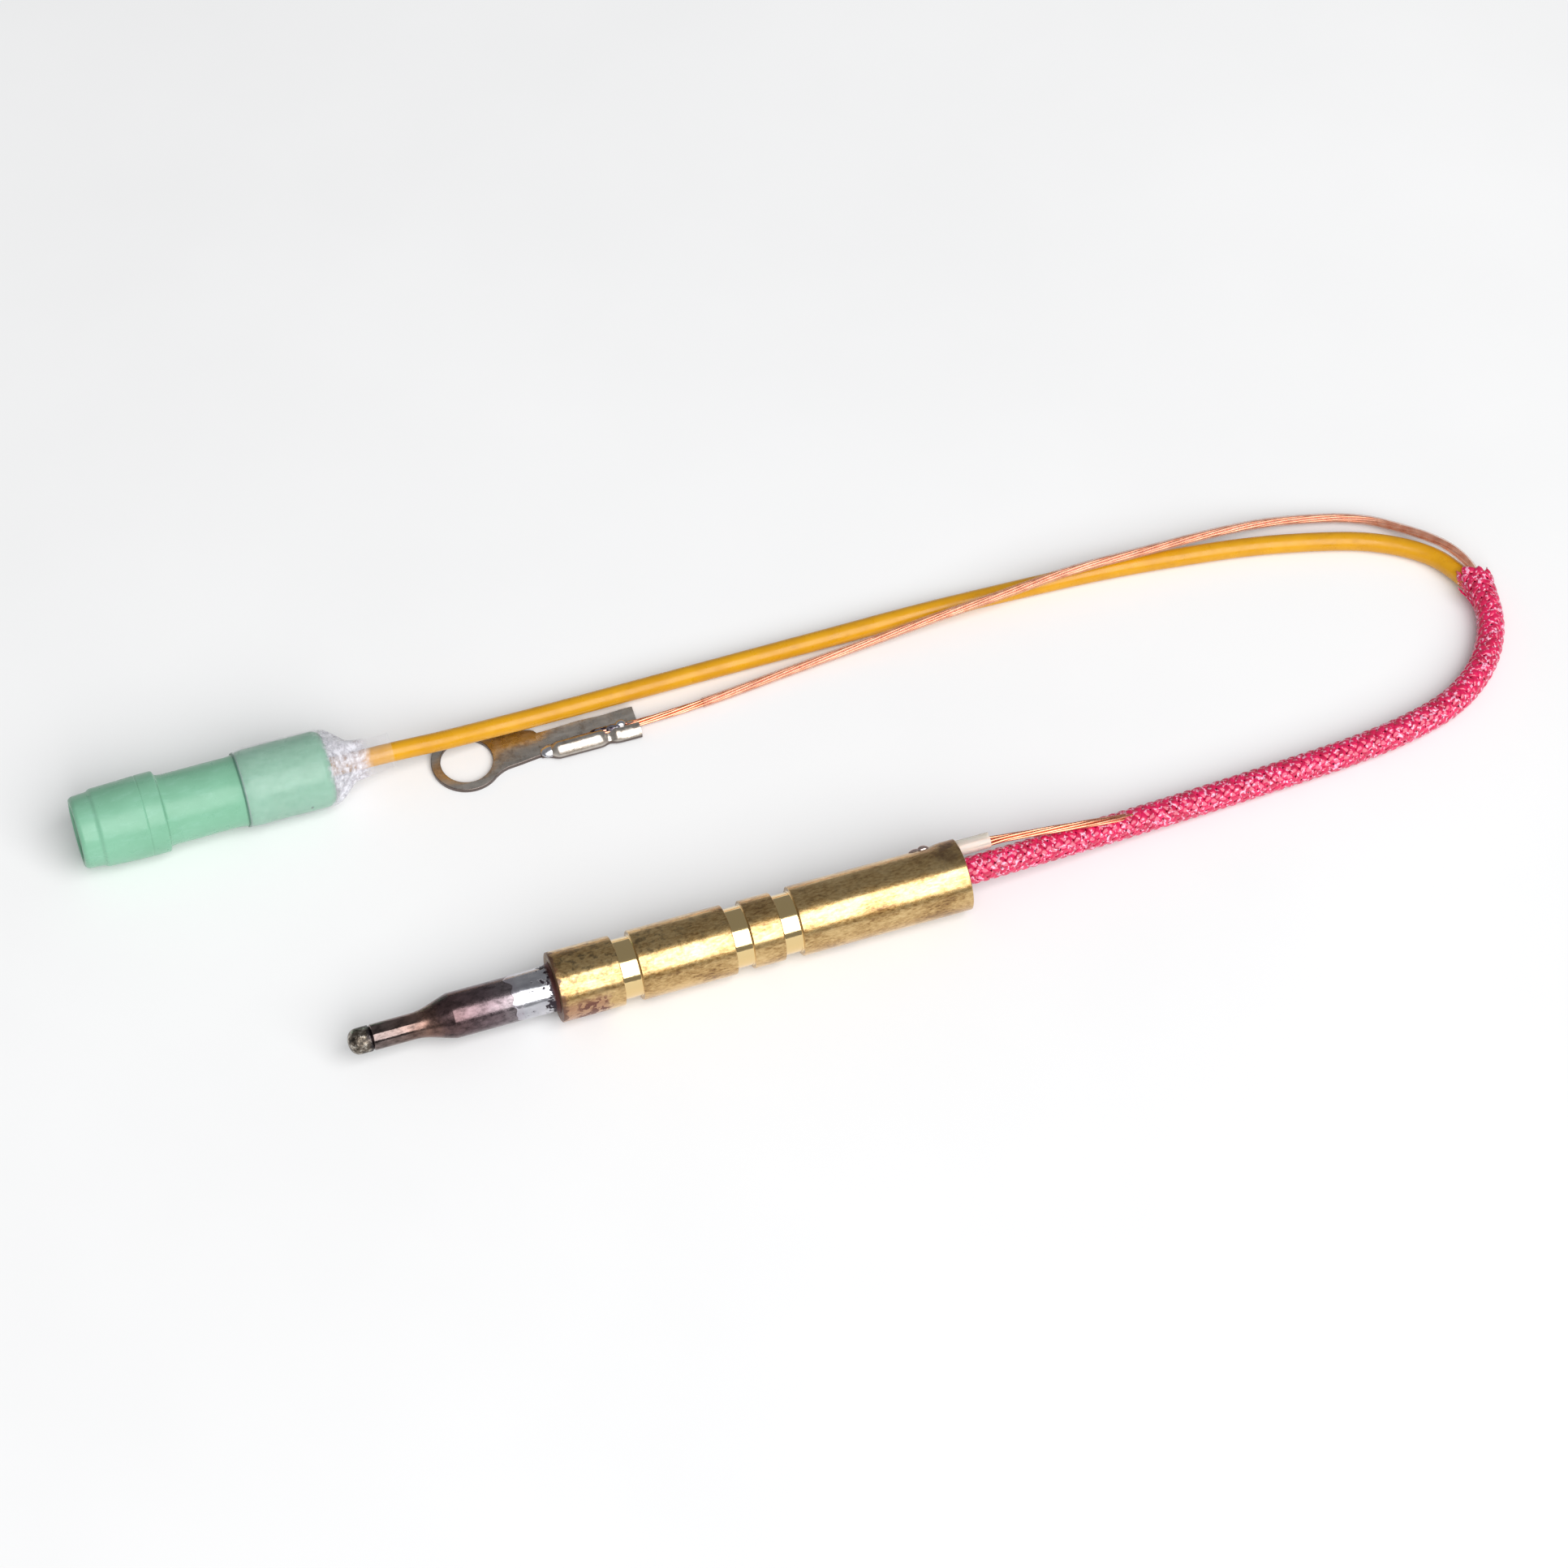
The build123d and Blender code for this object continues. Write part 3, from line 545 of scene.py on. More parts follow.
def braid_paint():
    """Varnished glass-fibre yarn: crimson, with fine filaments along it, and pale flecks that are
    painted glints.
    """
    p = Paint(
        "braid_paint", Specular_IOR_Level=0.4, Coat_Weight=0.7, Coat_Roughness=0.09,
        Coat_IOR=1.62, Coat_Tint=(1.0, 0.86, 0.96, 1),
    )
    uv = p.tree.nodes.new("ShaderNodeUVMap")
    uv.uv_map = "yarn"
    across = p.node("Mapping", Vector=uv.outputs["UV"])
    across.inputs["Scale"].default_value = (0.6, 22.0, 1.0)
    filaments = p.noise(1.0, 3, 0.6, across.outputs["Vector"])
    patches = p.noise(0.9, 4, 0.6)
    red = p.ramp(patches, (0.32, (0.52, 0.0, 0.050)), (0.68, (0.84, 0.005, 0.115)))
    red = p.mix(1.0, red, p.fade(filaments, 0.62, 1.15), "MULTIPLY")
    # painted glints: pale flecks mixed into the base colour
    painted_glint_flecks = p.ramp(p.noise(2.7, 2, 0.5), (0.58, 0.0), (0.62, 1.0))
    p.set("Base Color", p.mix(p.times(painted_glint_flecks, 0.7), red, (0.93, 0.62, 0.76)))
    p.set("Roughness", p.fade(filaments, 0.45, 0.28))
    p.bump(filaments, 0.4, 0.035)
    return p.material


def braid_shade_sheet_paint():
    """A near-black red sheet inside the braid: painted shade, seen between its yarns."""
    p = Paint("braid_shade_sheet_paint", Roughness=0.8)
    p.set("Base Color", p.fade(p.noise(3.0), (0.030, 0.0, 0.008), (0.075, 0.0, 0.018)))
    return p.material


def amber_paint():
    """Smooth amber tube with faint dents, and small darker scuffs along it."""
    p = Paint("amber_paint", Specular_IOR_Level=0.45)
    tone = p.noise(0.25, 4, 0.55)
    colour = p.fade(tone, (0.60, 0.275, 0.003), (0.70, 0.345, 0.006))
    marks = p.ramp(p.noise(1.6, 5, 0.65, p.stretched(0.4, 1, 1)), (0.56, 0.0), (0.70, 1.0))
    p.set("Base Color", p.mix(p.times(marks, 0.28), colour, (0.40, 0.16, 0.004)))
    p.set("Roughness", p.ramp(p.noise(0.9, 4, 0.6), (0.35, 0.24), (0.65, 0.42)))
    p.bump(p.noise(0.7, 3), 0.25, 0.12)
    return p.material


def clear_paint():
    """The return lead's clear coat: thin and glossy, tinted like the copper beneath."""
    p = Paint("clear_tube_paint", IOR=1.5, Alpha=0.28)
    tint = p.ramp(p.noise(1.4, 4, 0.6), (0.35, (0.72, 0.30, 0.18)), (0.65, (0.92, 0.58, 0.42)))
    p.set("Base Color", tint)
    p.set("Roughness", p.fade(p.noise(2.0, 3), 0.05, 0.12))
    p.bump(p.noise(1.1, 4, 0.6), 0.15, 0.12)
    return p.material


def film_paint():
    """Heat-shrunk film: hardly seen where tight on the boot, milky lilac where it crumples, with a
    dark line along its front edge that is painted shade.
    """
    p = Paint("film_paint", IOR=1.5)
    x = p.part("X")
    loose = p.step(p.plus(x, p.times(p.noise(1.2, 4, 0.6), 1.6)), -24.4, -23.2)
    tail = p.step(x, -21.6, -20.2)
    folds = p.ramp(p.noise(1.5, 5, 0.7), (0.36, 0.22), (0.62, 0.72))
    # painted shade: a dark mint, nearly opaque band along the film's front edge
    front = p.inverse(p.step(x, -33.7, -33.4))
    milky = p.ramp(folds, (0.2, (0.62, 0.60, 0.68)), (0.7, (0.90, 0.89, 0.95)))
    p.set("Base Color", p.mix(front, milky, (0.10, 0.24, 0.17)))
    seen = p.mix(tail, p.mix(loose, (0.08, 0.08, 0.08), folds), (0.05, 0.05, 0.05))
    p.set("Alpha", p.sums("MAXIMUM", seen, p.times(front, 0.75)))
    p.set("Roughness", p.fade(p.noise(0.9, 3), 0.10, 0.26))
    p.bump(p.noise(1.2, 4, 0.6), 0.25, 0.06)
    p.bump(p.times(p.noise(2.0, 4, 0.65), loose), 0.5, 0.12)
    return p.material


def liner_paint():
    """The return lead's liner: glossy cream-white, and half clear."""
    p = Paint("liner_paint", IOR=1.45, Transmission_Weight=0.58, Roughness=0.06)
    p.set("Base Color", p.fade(p.noise(0.9, 3), (0.97, 0.90, 0.79), (1.0, 0.97, 0.90)))
    p.bump(p.noise(1.5), 0.15, 0.05)
    return p.material


def tin_paint():
    """Dull tinned sheet: warm grey with rolling marks along it, stains, and dark low rim edges that
    are painted shade.
    """
    p = Paint("tin_paint", Metallic=1.0)
    rolled = p.noise(1.0, 4, 0.6, p.stretched(0.3, 2.4, 2.4))
    colour = p.fade(rolled, (0.50, 0.455, 0.405), (0.66, 0.61, 0.55))
    stains = p.ramp(p.noise(1.1, 5, 0.7), (0.50, 0.0), (0.66, 1.0))
    colour = p.mix(p.times(stains, 0.55), colour, (0.27, 0.19, 0.13))
    normal = p.node("SeparateXYZ", Vector=p.node("NewGeometry").outputs["Normal"])
    flat = p.step(p.sums("ABSOLUTE", normal.outputs["Z"]), 0.90, 0.995)
    low = p.inverse(p.step(p.part("Z"), 0.55, 0.75))
    # painted shade: the steep faces low on the sheet are darkened
    painted_shade_rims = p.times(p.inverse(flat), low)
    p.set("Base Color", p.mix(p.times(painted_shade_rims, 0.85), colour, (0.09, 0.06, 0.055)))
    p.set("Roughness", p.fade(p.noise(0.7, 5, 0.6), 0.40, 0.22))
    p.bump(rolled, 0.12, 0.02)
    p.bump(p.noise(3.0, 4, 0.6), 0.15, 0.05)
    p.bump(p.noise(0.9, 3, 0.5), 0.4, 0.14)
    return p.material


def boot_paint():
    """Satin mint plastic with moulding flow, faint scuffs and a few dark specks under the film."""
    p = Paint("boot_paint", Specular_IOR_Level=0.35)
    tone = p.noise(0.22, 4, 0.55)
    colour = p.fade(tone, (0.185, 0.415, 0.275), (0.220, 0.475, 0.325))
    scuffs = p.ramp(p.noise(1.2, 5, 0.7, p.stretched(0.4, 1.2, 1.2)), (0.52, 0.0), (0.70, 1.0))
    colour = p.mix(p.times(scuffs, 0.30), colour, (0.30, 0.56, 0.44))
    specks = p.ramp(p.noise(1.7, 1, 0.3), (0.765, 0.0), (0.80, 1.0))
    under_film = p.step(p.part("X"), -33.5, -31.5)
    p.set("Base Color", p.mix(p.times(specks, under_film), colour, (0.05, 0.10, 0.07)))
    p.set("Roughness", p.fade(p.noise(0.8, 4), 0.24, 0.38))
    p.bump(p.noise(0.5, 3), 0.25, 0.12)
    p.bump(p.noise(7.0, 3), 0.07, 0.02)
    return p.material


def grained_paint(name, dark, light, noise, relief, stretch=(1, 1, 1), **constants):
    """A plain material for the pieces inside: one grain colours it and raises it."""
    p = Paint(name, **constants)
    grain = p.noise(*noise, p.stretched(*stretch))
    p.set("Base Color", p.fade(grain, dark, light))
    p.bump(grain, *relief)
    return p.material


def repaint(node, material):
    """Give a carried-over CAD node its material."""
    obj = frame["nodes"][node]
    obj.data.materials.clear()
    obj.data.materials.append(material)


# --- Probe and body ---


def front_solder(material):
    """The solder on the shank: a ragged front edge, ripples, and a fillet up the body's face."""
    segments, rows = 120, 60
    face_x = body_low.x
    noise = random.Random(4)
    waves = [
        (k, noise.uniform(0, TAU), noise.uniform(0.10, 0.30) / math.sqrt(k)) for k in range(2, 14)
    ]
    angles = [TAU * j / segments for j in range(segments)]

    def edge(angle):
        ragged = sum(size * math.sin(k * angle + phase) for k, phase, size in waves)
        below = 0.5 - 0.5 * math.tanh((math.sin(angle - 0.3) + 0.15) * 6)
        return braze_low.x + (0.2 + 1.2 * below + ragged * 0.7) * MM

    vertices = []
    for i in range(rows):
        t = i / (rows - 1)
        for angle in angles:
            start = edge(angle)
            x = start + (face_x - start) * t
            skin = 0.05 * min(1, t / 0.05) + 0.012 * math.sin(7 * t + 3 * math.sin(2 * angle))
            fillet = 0.30 * math.exp(-(face_x - x) / MM / (0.22 + 0.1 * math.sin(3 * angle)))
            r = SHANK_R + (max(skin, 0.004) * min(1, t / 0.03) + fillet - 0.01) * MM
            vertices.append(around(BODY_AXIS, x, r, angle))
    # two rings sunk in the shank close the skin underneath
    sunk_r = SHANK_R - 0.12 * MM
    vertices += [around(BODY_AXIS, face_x, sunk_r, angle) for angle in angles]
    vertices += [around(BODY_AXIS, edge(angle) + 0.02 * MM, sunk_r, angle) for angle in angles]
    faces = looped_faces(rows + 2, segments)
    obj = piece("front_solder_flow", vertices, faces, material)
    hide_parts("front_braze")


def body_piece(material):
    """The turned body: crisp rounded shoulders, and the pouch where the return lead leaves."""
    edge = 0.10 * MM
    outline = [(body_low.x, SHANK_R), (body_low.x, BODY_R)]
    lands = [BODY_R, BODY_R, RING_R, BODY_R]
    for name, before, after in zip(("front", "middle", "rear"), lands, lands[1:]):
        groove = mounts["clip_groove_" + name]
        centre = groove["pos_m"][0]
        half = groove["dims"]["length_mm"] * MM / 2
        floor = groove["dims"]["r_mm"] * MM
        outline += [(centre - half, before), (centre - half, floor), (centre + half, floor)]
        outline.append((centre + half, after))
    rear = body_high.x
    bore_end = rear - BODY_BORE_DEPTH
    outline += [(rear, BODY_R), (rear, BODY_BORE_R), (bore_end, BODY_BORE_R), (bore_end, SHANK_R)]
    profile = divided(rounded(outline, edge), rear - 4.5 * MM, rear, 0.12 * MM)
    pouch_start = rear - 3.2 * MM

    def swell(x, r, angle):
        """The wall pushed out round the return lead, in a low lump, and its channel inside."""
        turn = (angle - EXIT_ANGLE + math.pi) % TAU - math.pi
        if x < pouch_start or abs(turn) > 1 or r < BODY_BORE_R - 0.1 * MM:
            return r
        grown = min(1, (x - pouch_start) / (1.9 * MM))
        grown = grown * grown * (3 - 2 * grown)
        if r > BODY_R - 0.35 * MM:
            return r + 0.2 * MM * grown * math.exp(-((turn / 0.26) ** 2))
        inside = (LINER_R + 0.02 * MM) ** 2 - (EXIT_REACH * math.sin(turn)) ** 2
        reach = EXIT_REACH * math.cos(turn) + math.sqrt(max(0, inside))
        return max(r, reach * grown + r * (1 - grown)) if inside > 0 else r

    vertices, faces = turned(profile, BODY_AXIS, 192, swell)
    obj = piece("turned_body", vertices, faces, material)
    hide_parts("brass_body")


def bead(name, centre, size, squash, material, seed):
    """A lump of solder: a ball, flattened and uneven."""
    bpy.ops.mesh.primitive_ico_sphere_add(subdivisions=4, radius=1)
    ball = bpy.context.object
    noise = random.Random(seed)
    waves = []
    for _ in range(7):
        way = Vector([noise.gauss(0, 1) for _ in range(3)]) * 1.6
        waves.append((way, noise.uniform(0, TAU)))
    vertices = []
    for v in ball.data.vertices:
        bumpy = sum(math.sin(way.dot(v.co) + phase) for way, phase in waves) / len(waves)
        reach = size * (1 + 0.3 * bumpy)
        vertices.append([centre[k] + v.co[k] * reach * squash[k] for k in range(3)])
    faces = [tuple(f.vertices) for f in ball.data.polygons]
    bpy.data.objects.remove(ball)
    return piece(name, vertices, faces, material)


def body_solder(material):
    """The bead of solder over the return lead's joint, and the flat smear beside it."""
    low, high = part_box("return_lead_solder")
    x = (low.x + high.x) / 2 + 0.6 * MM
    lumps = [(0.0, -0.06, 0.52, (1.35, 0.95, 0.80)), (-0.85, -0.10, 0.38, (1.7, 0.9, 0.7))]
    for k, (along_x, proud, size, squash) in enumerate(lumps):
        centre = around(BODY_AXIS, x + along_x * MM, BODY_R + proud * MM, EXIT_ANGLE)
        obj = bead(f"return_joint_solder_{k}", centre, size * MM, squash, material, 3 + k)
        if k == 0:
            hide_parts("return_lead_solder")


# --- Leads ---


def braid(shade_sheet_material, yarn_material):
    """The braided sleeve: flat yarns that pass over and under each other round a dark sheet painted
    as the shade inside.
    """
    path, marks = spaced(smooth_route("sleeve", SLEEVE_ROUTE), 0.09 * MM)
    length = marks[-1]
    _, side, up = directions(path)
    each_way, cell = 6, 1.04 * MM
    pitch = each_way * cell
    half_width, half_thick, wave = 0.365 * MM, 0.095 * MM, 0.085 * MM
    mean_r = SLEEVE_R - half_thick - wave
    noise = random.Random(12)
    sections = 12

    def opening(mark):
        """How much wider the sleeve is near its mouth."""
        t = min(1.0, max(0.0, 1 - (length - mark) / (5.2 * MM)))
        return 1 + 0.42 * t * t

    vertices, faces, uvs = [], [], []
    for turn in (1, -1):
        for k in range(each_way):
            start_angle = TAU * k / each_way
            short = noise.uniform(0, 0.35) * MM
            wobble = noise.uniform(0, TAU)
            centres, rims = [], []
            for i, s in enumerate(marks):
                angle = start_angle + turn * TAU * s / pitch
                angle += 0.05 * math.sin(s / (3.1 * MM) + wobble)
                # the cut is slanted: it comes sooner on the outside of the bend
                if s > length - short - 0.5 * (1 + math.cos(angle)) * MM:
                    break
                r = mean_r + turn * wave * math.cos(each_way * TAU * s / pitch)
                outward = side[i] * math.cos(angle) + up[i] * math.sin(angle)
                spread = (opening(s) - 1) * side[i] * math.cos(angle)
                centres.append(path[i] + r * (outward + spread))
                rims.append(outward)
            centres, rims = np.array(centres), np.array(rims)
            way = np.gradient(centres, axis=0)
            way /= np.linalg.norm(way, axis=1)[:, None]
            across = np.cross(way, rims)
            across /= np.linalg.norm(across, axis=1)[:, None]
            base = len(vertices)
            for i in range(len(centres)):
                for j in range(sections):
                    # the yarn's section is a flattened oval that follows the sleeve's roundness
                    a = TAU * j / sections
                    u = half_width * math.copysign(abs(math.cos(a)) ** 0.8, math.cos(a))
                    v = half_thick * math.sin(a) - u * u / (2.4 * mean_r)
                    vertices.append(centres[i] + across[i] * u + rims[i] * v)
                    uvs.append((marks[i] / MM, abs(2 * j / sections - 1)))
            faces += capped_faces(len(centres), sections, base)

    # loose filaments that stand off the sleeve near its mouth
    for k in range(5):
        reach = ((-0.15, 0.1), (-0.8, 0.3), (-0.5, 0.4))
        shift = Vector([noise.uniform(low, high) for low, high in reach])
        bends = [(92.7, 15.4, 1.7), (92.35, 16.9, 2.0), (92.1, 18.0, 2.1)]
        bends.append((91.9 - 0.06 * k, 18.9, 2.1))
        line = smooth_route("hair", [tuple((Vector(b) + shift) * MM) for b in bends])
        hair = tube(spaced(line, 0.25 * MM)[0], 0.055 * MM, 6)
        join(vertices, faces, hair)
        uvs += [(0.0, 0.5)] * len(hair[0])
    obj = piece("braided_yarns", vertices, faces, yarn_material)
    layer = obj.data.uv_layers.new(name="yarn")
    for loop in obj.data.loops:
        layer.data[loop.index].uv = uvs[loop.vertex_index]

    # a near-black sheet inside the yarns: painted shade in the gaps between them
    inner = path[: -int(1.3 * MM / (marks[1] - marks[0]))]
    rows, sides, wall = len(inner), 32, 0.10 * MM
    shade_sheet = []
    for reach in (mean_r - wave - 0.02 * MM, mean_r - wave - 0.02 * MM - wall):
        for i in range(rows):
            for j in range(sides):
                a = TAU * j / sides
                offset = side[i] * math.cos(a) * opening(marks[i]) + up[i] * math.sin(a)
                shade_sheet.append(inner[i] + reach * offset)
    inside = piece("braid_shade_sheet", shade_sheet, hollow_faces(rows, sides), shade_sheet_material)
    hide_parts("braided_sleeve")


def core_lead(material):
    """The amber tube from the sleeve's mouth to the plug."""
    path, _ = spaced(smooth_route("core", CORE_ROUTE), 0.4 * MM)
    vertices, faces = tube(path, INSULATION_R, 32, INSULATION_R - 0.3 * MM)
    obj = piece("amber_tube", vertices, faces, material)
    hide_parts("core_lead_insulation")


def return_lead(copper, clear):
    """The return lead: seven copper strands in a long lay, clear-coated along the middle."""
    inside = [(x, y, z + IN_SLEEVE) for x, y, z in SLEEVE_ROUTE[4:-1]]
    route = smooth_route("return", RETURN_START + inside + RETURN_ROUTE)
    path, marks = spaced(route, 0.35 * MM)
    _, side, up = directions(path)
    strand_r, lay = 0.138 * MM, 26 * MM
    # the strands stand apart in the wide liner
    apart = np.clip((liner_high.x + 1.5 * MM - path[:, 0]) / (1.5 * MM), 0, 1)
    apart = np.where(marks < 0.02, 1 + 0.45 * apart, 1)
    vertices, faces = [], []
    for k in range(7):
        reach = (0.0 if k == 6 else 0.265 * MM) * apart
        angle = TAU * k / 6 + TAU * marks / lay
        sideways, upwards = (reach * np.cos(angle))[:, None], (reach * np.sin(angle))[:, None]
        line = path + sideways * side + upwards * up
        join(vertices, faces, tube(line, strand_r, 8))
    wire = piece("copper_strands", vertices, faces, copper)
    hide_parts("return_lead_wire")

    ends_at = [
        int(np.argmin(np.linalg.norm(path - RETURN_ROUTE[k], axis=1)))
        for k in (0, CLEAR_SLEEVE_POINTS - 1)
    ]
    vertices, faces = tube(path[ends_at[0] : ends_at[1] + 1], RETURN_SLEEVE_R, 24)
    sleeve = piece("clear_tube", vertices, faces, clear)
    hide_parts("return_lead_sleeve")


# --- Ring terminal ---


def terminal_plate(material):
    """The flat eye and neck, cut from sheet, with soft edges."""
    data = bpy.data.curves.new("terminal_outline", "CURVE")
    data.dimensions = "2D"
    data.fill_mode = "BOTH"
    rim = 0.07 * MM
    data.extrude = TIN_SHEET / 2 - rim
    data.bevel_depth = rim
    data.bevel_resolution = 2
    data.offset = -rim
    outer_r = EYE_X - terminal_low.x
    neck_top, neck_low = math.radians(70), math.radians(-48)
    outer = []
    for k in range(91):
        a = neck_top + (TAU - neck_top + neck_low) * k / 90
        outer.append((EYE_X + outer_r * math.cos(a), EYE_Y + outer_r * math.sin(a)))
    low_edge = [
        (-8.39, 27.92), (-7.5, 28.5), (-6.0, 28.6), (-4.4, 28.8), (-3.0, 28.95), (-2.4, 28.95),
    ]
    high_edge = [
        (-2.4, 31.2), (-2.75, 31.3), (-3.05, 31.45), (-3.25, 31.9), (-3.55, 32.25), (-5.0, 32.6),
    ]
    for edge in (low_edge, high_edge):
        line = smooth_route("edge", [(x * MM, y * MM, 0) for x, y in edge])
        outer += [(x, y) for x, y, _ in line[::8]]
    hole = [
        (EYE_X + EYE_HOLE_R * math.cos(TAU * k / 80), EYE_Y - EYE_HOLE_R * math.sin(TAU * k / 80))
        for k in range(80)
    ]
    for loop in (outer, hole):
        line = data.splines.new("POLY")
        line.points.add(len(loop) - 1)
        for point, place in zip(line.points, loop):
            point.co = (*place, 0, 1)
        line.use_cyclic_u = True
    carrier = bpy.data.objects.new("terminal_outline", data)
    mesh = bpy.data.meshes.new_from_object(carrier)
    bpy.data.objects.remove(carrier)
    vertices = [(v.co.x, v.co.y, v.co.z + TIN_SHEET / 2) for v in mesh.vertices]
    faces = [tuple(f.vertices) for f in mesh.polygons]
    obj = piece("terminal_plate", vertices, faces, material)
    weld = obj.modifiers.new("weld", "WELD")
    weld.merge_threshold = 0.001 * MM
    crisp(obj, 40)
    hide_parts("ring_terminal")
    return obj


def ease(t):
    t = min(1.0, max(0.0, t))
    return t * t * (3 - 2 * t)


def crimp_section(x):
    """The middle of the barrel's sheet at x, as points (y, z) across it, all in millimetres.

    The far side lies nearly level and carries on from the neck. The near side is rolled over the
    wire, and it is nipped in where the tool bit.
    """
    middle = TIN_SHEET / MM / 2
    far = ease((x + 3.4) / 2.3)
    near = 0.12 + 0.88 * ease((x + 3.2) / 1.6)
    nip = math.exp(-(((x - 3.6) / 0.55) ** 2))
    low_end = ease((x - 4.2) / 1.0)
    foot = 29.0 - 0.75 * near + 0.25 * nip
    height = near * (1.12 - 0.5 * nip - 0.25 * low_end)
    lean = 1 + 0.25 * nip
    return [
        (31.6 + 0.05 * math.sin(1.3 * x), middle + 0.34 * far),
        (30.95, middle + 0.24 * far),
        (30.3, middle + 0.11 * far),
        (29.6, middle),
        ((29.6 + foot) / 2, middle),
        (foot, middle),
        (foot - 0.12 * near, middle + 0.32 * height),
        (foot + 0.22 * near * lean, middle + 0.80 * height),
        (foot + 0.66 * near * lean, middle + 1.02 * height),
        (foot + 1.02 * near * lean, middle + 0.92 * height),
        (foot + 1.22 * near * lean, middle + 0.66 * height),
    ]


def terminal_crimp(material):
    """The crimp barrel, folded from the same sheet as the eye."""
    start, end = -3.4, terminal_high.x / MM
    rows = 72
    vertices, count = [], 0
    for i in range(rows):
        x = start + (end - start) * i / (rows - 1)
        fine = smooth_route("crimp", [(0, y * MM, z * MM) for y, z in crimp_section(x)])[:, 1:] / MM
        fine = fine[:: max(1, len(fine) // 56)]
        way = np.gradient(fine, axis=0)
        way /= np.linalg.norm(way, axis=1)[:, None]
        normal = np.stack([-way[:, 1], way[:, 0]], axis=1)
        # the sheet is thinned where it is bent
        share = np.linspace(-1, 1, len(fine))[:, None]
        half = TIN_SHEET / MM / 2 * (1 - 0.28 * ease((x + 3.4) / 1.5) * share**2)
        ring = np.concatenate([fine + normal * half, (fine - normal * half)[::-1]])
        ring[:, 1] = np.maximum(ring[:, 1], 0.01)
        count = len(ring)
        vertices += [(x * MM, y * MM, z * MM) for y, z in ring]
    faces = grid_faces(rows, count)
    half = count // 2
    for base, flip in ((0, False), ((rows - 1) * count, True)):
        for j in range(half - 1):
            quad = (base + j, base + j + 1, base + count - 2 - j, base + count - 1 - j)
            faces.append(tuple(reversed(quad)) if flip else quad)
    obj = piece("terminal_crimp", vertices, faces, material)
    crisp(obj, 50)
    return obj


def terminal_solder(bright, dull):
    """The solder in the crimp: a bright blob in front, lumps in the trough made darker as painted
    shade, and beads by the mouth.
    """
    lumps = [
        ((-2.55, 29.05, 0.62), 0.72, (1.25, 0.95, 0.6), bright),
        ((-1.3, 29.4, 0.72), 0.5, (2.2, 0.7, 0.6), dull),
        ((0.8, 29.5, 0.78), 0.5, (2.8, 0.7, 0.6), dull),
        ((2.9, 29.5, 1.0), 0.5, (2.0, 0.8, 0.75), dull),
        ((4.3, 29.35, 1.1), 0.55, (1.5, 0.85, 0.75), dull),
        ((5.15, 29.55, 1.2), 0.5, (1.0, 0.9, 0.8), bright),
        ((6.1, 29.4, 0.85), 0.5, (1.3, 1.0, 0.8), bright),
    ]
    made = []
    for k, (place, size, squash, material) in enumerate(lumps):
        centre = tuple(c * MM for c in place)
        made.append(bead(f"terminal_solder_{k}", centre, size * MM, squash, material, 20 + k))
    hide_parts("ring_terminal_solder")
    return made


# --- Plug ---


def boot_piece(material):
    """The moulded boot: soft steps, a rolled nose and a faint parting line."""
    x0, axis = boot_low.x / MM, PLUG_AXIS
    profile = [
        (x0, 2.9), (x0, 3.45), (x0 + 0.35, 3.68), (x0 + 1.9, 3.76), (x0 + 2.25, 3.98),
        (x0 + 6.7, 4.1), (x0 + 6.78, 4.04), (x0 + 6.9, 4.1), (x0 + 8.6, 4.1), (x0 + 8.75, 3.62),
        (x0 + 9.3, 3.53), (x0 + 16.1, 3.53), (x0 + 17.5, 3.88), (x0 + 25.0, 3.88),
        (x0 + 25.75, 3.4), (x0 + 25.8, 1.2), (x0 + 14.2, 1.3), (x0 + 14.2, 2.6), (x0 + 2.9, 2.6),
        (x0 + 2.8, 2.9),
    ]
    radii = [0.2, 0.3, 0.3, 0.35, 0.35, 0.12, 0.05, 0.12, 0.3, 0.3, 0.4, 0.8, 0.8, 0.9, 0.6]
    radii += [0.2, 0.1, 0.1, 0.1, 0.1]
    profile = [(x * MM, r * MM) for x, r in rounded(profile, radii)]
    profile = divided(profile, boot_low.x, boot_high.x, 0.6 * MM)

    def swell(x, r, angle):
        if r < 3.2 * MM:
            return r
        seam = math.exp(-((math.sin(angle - 0.9) * 3.9 / 0.07) ** 2))
        uneven = 0.02 * math.sin(2 * angle + x / MM * 0.3) + 0.012 * math.sin(5 * angle - x / MM)
        return r + (0.035 * seam + uneven) * MM

    vertices, faces = turned(profile, axis, 144, swell)
    obj = piece("moulded_boot", vertices, faces, material)
    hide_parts("plug_boot")
    return obj


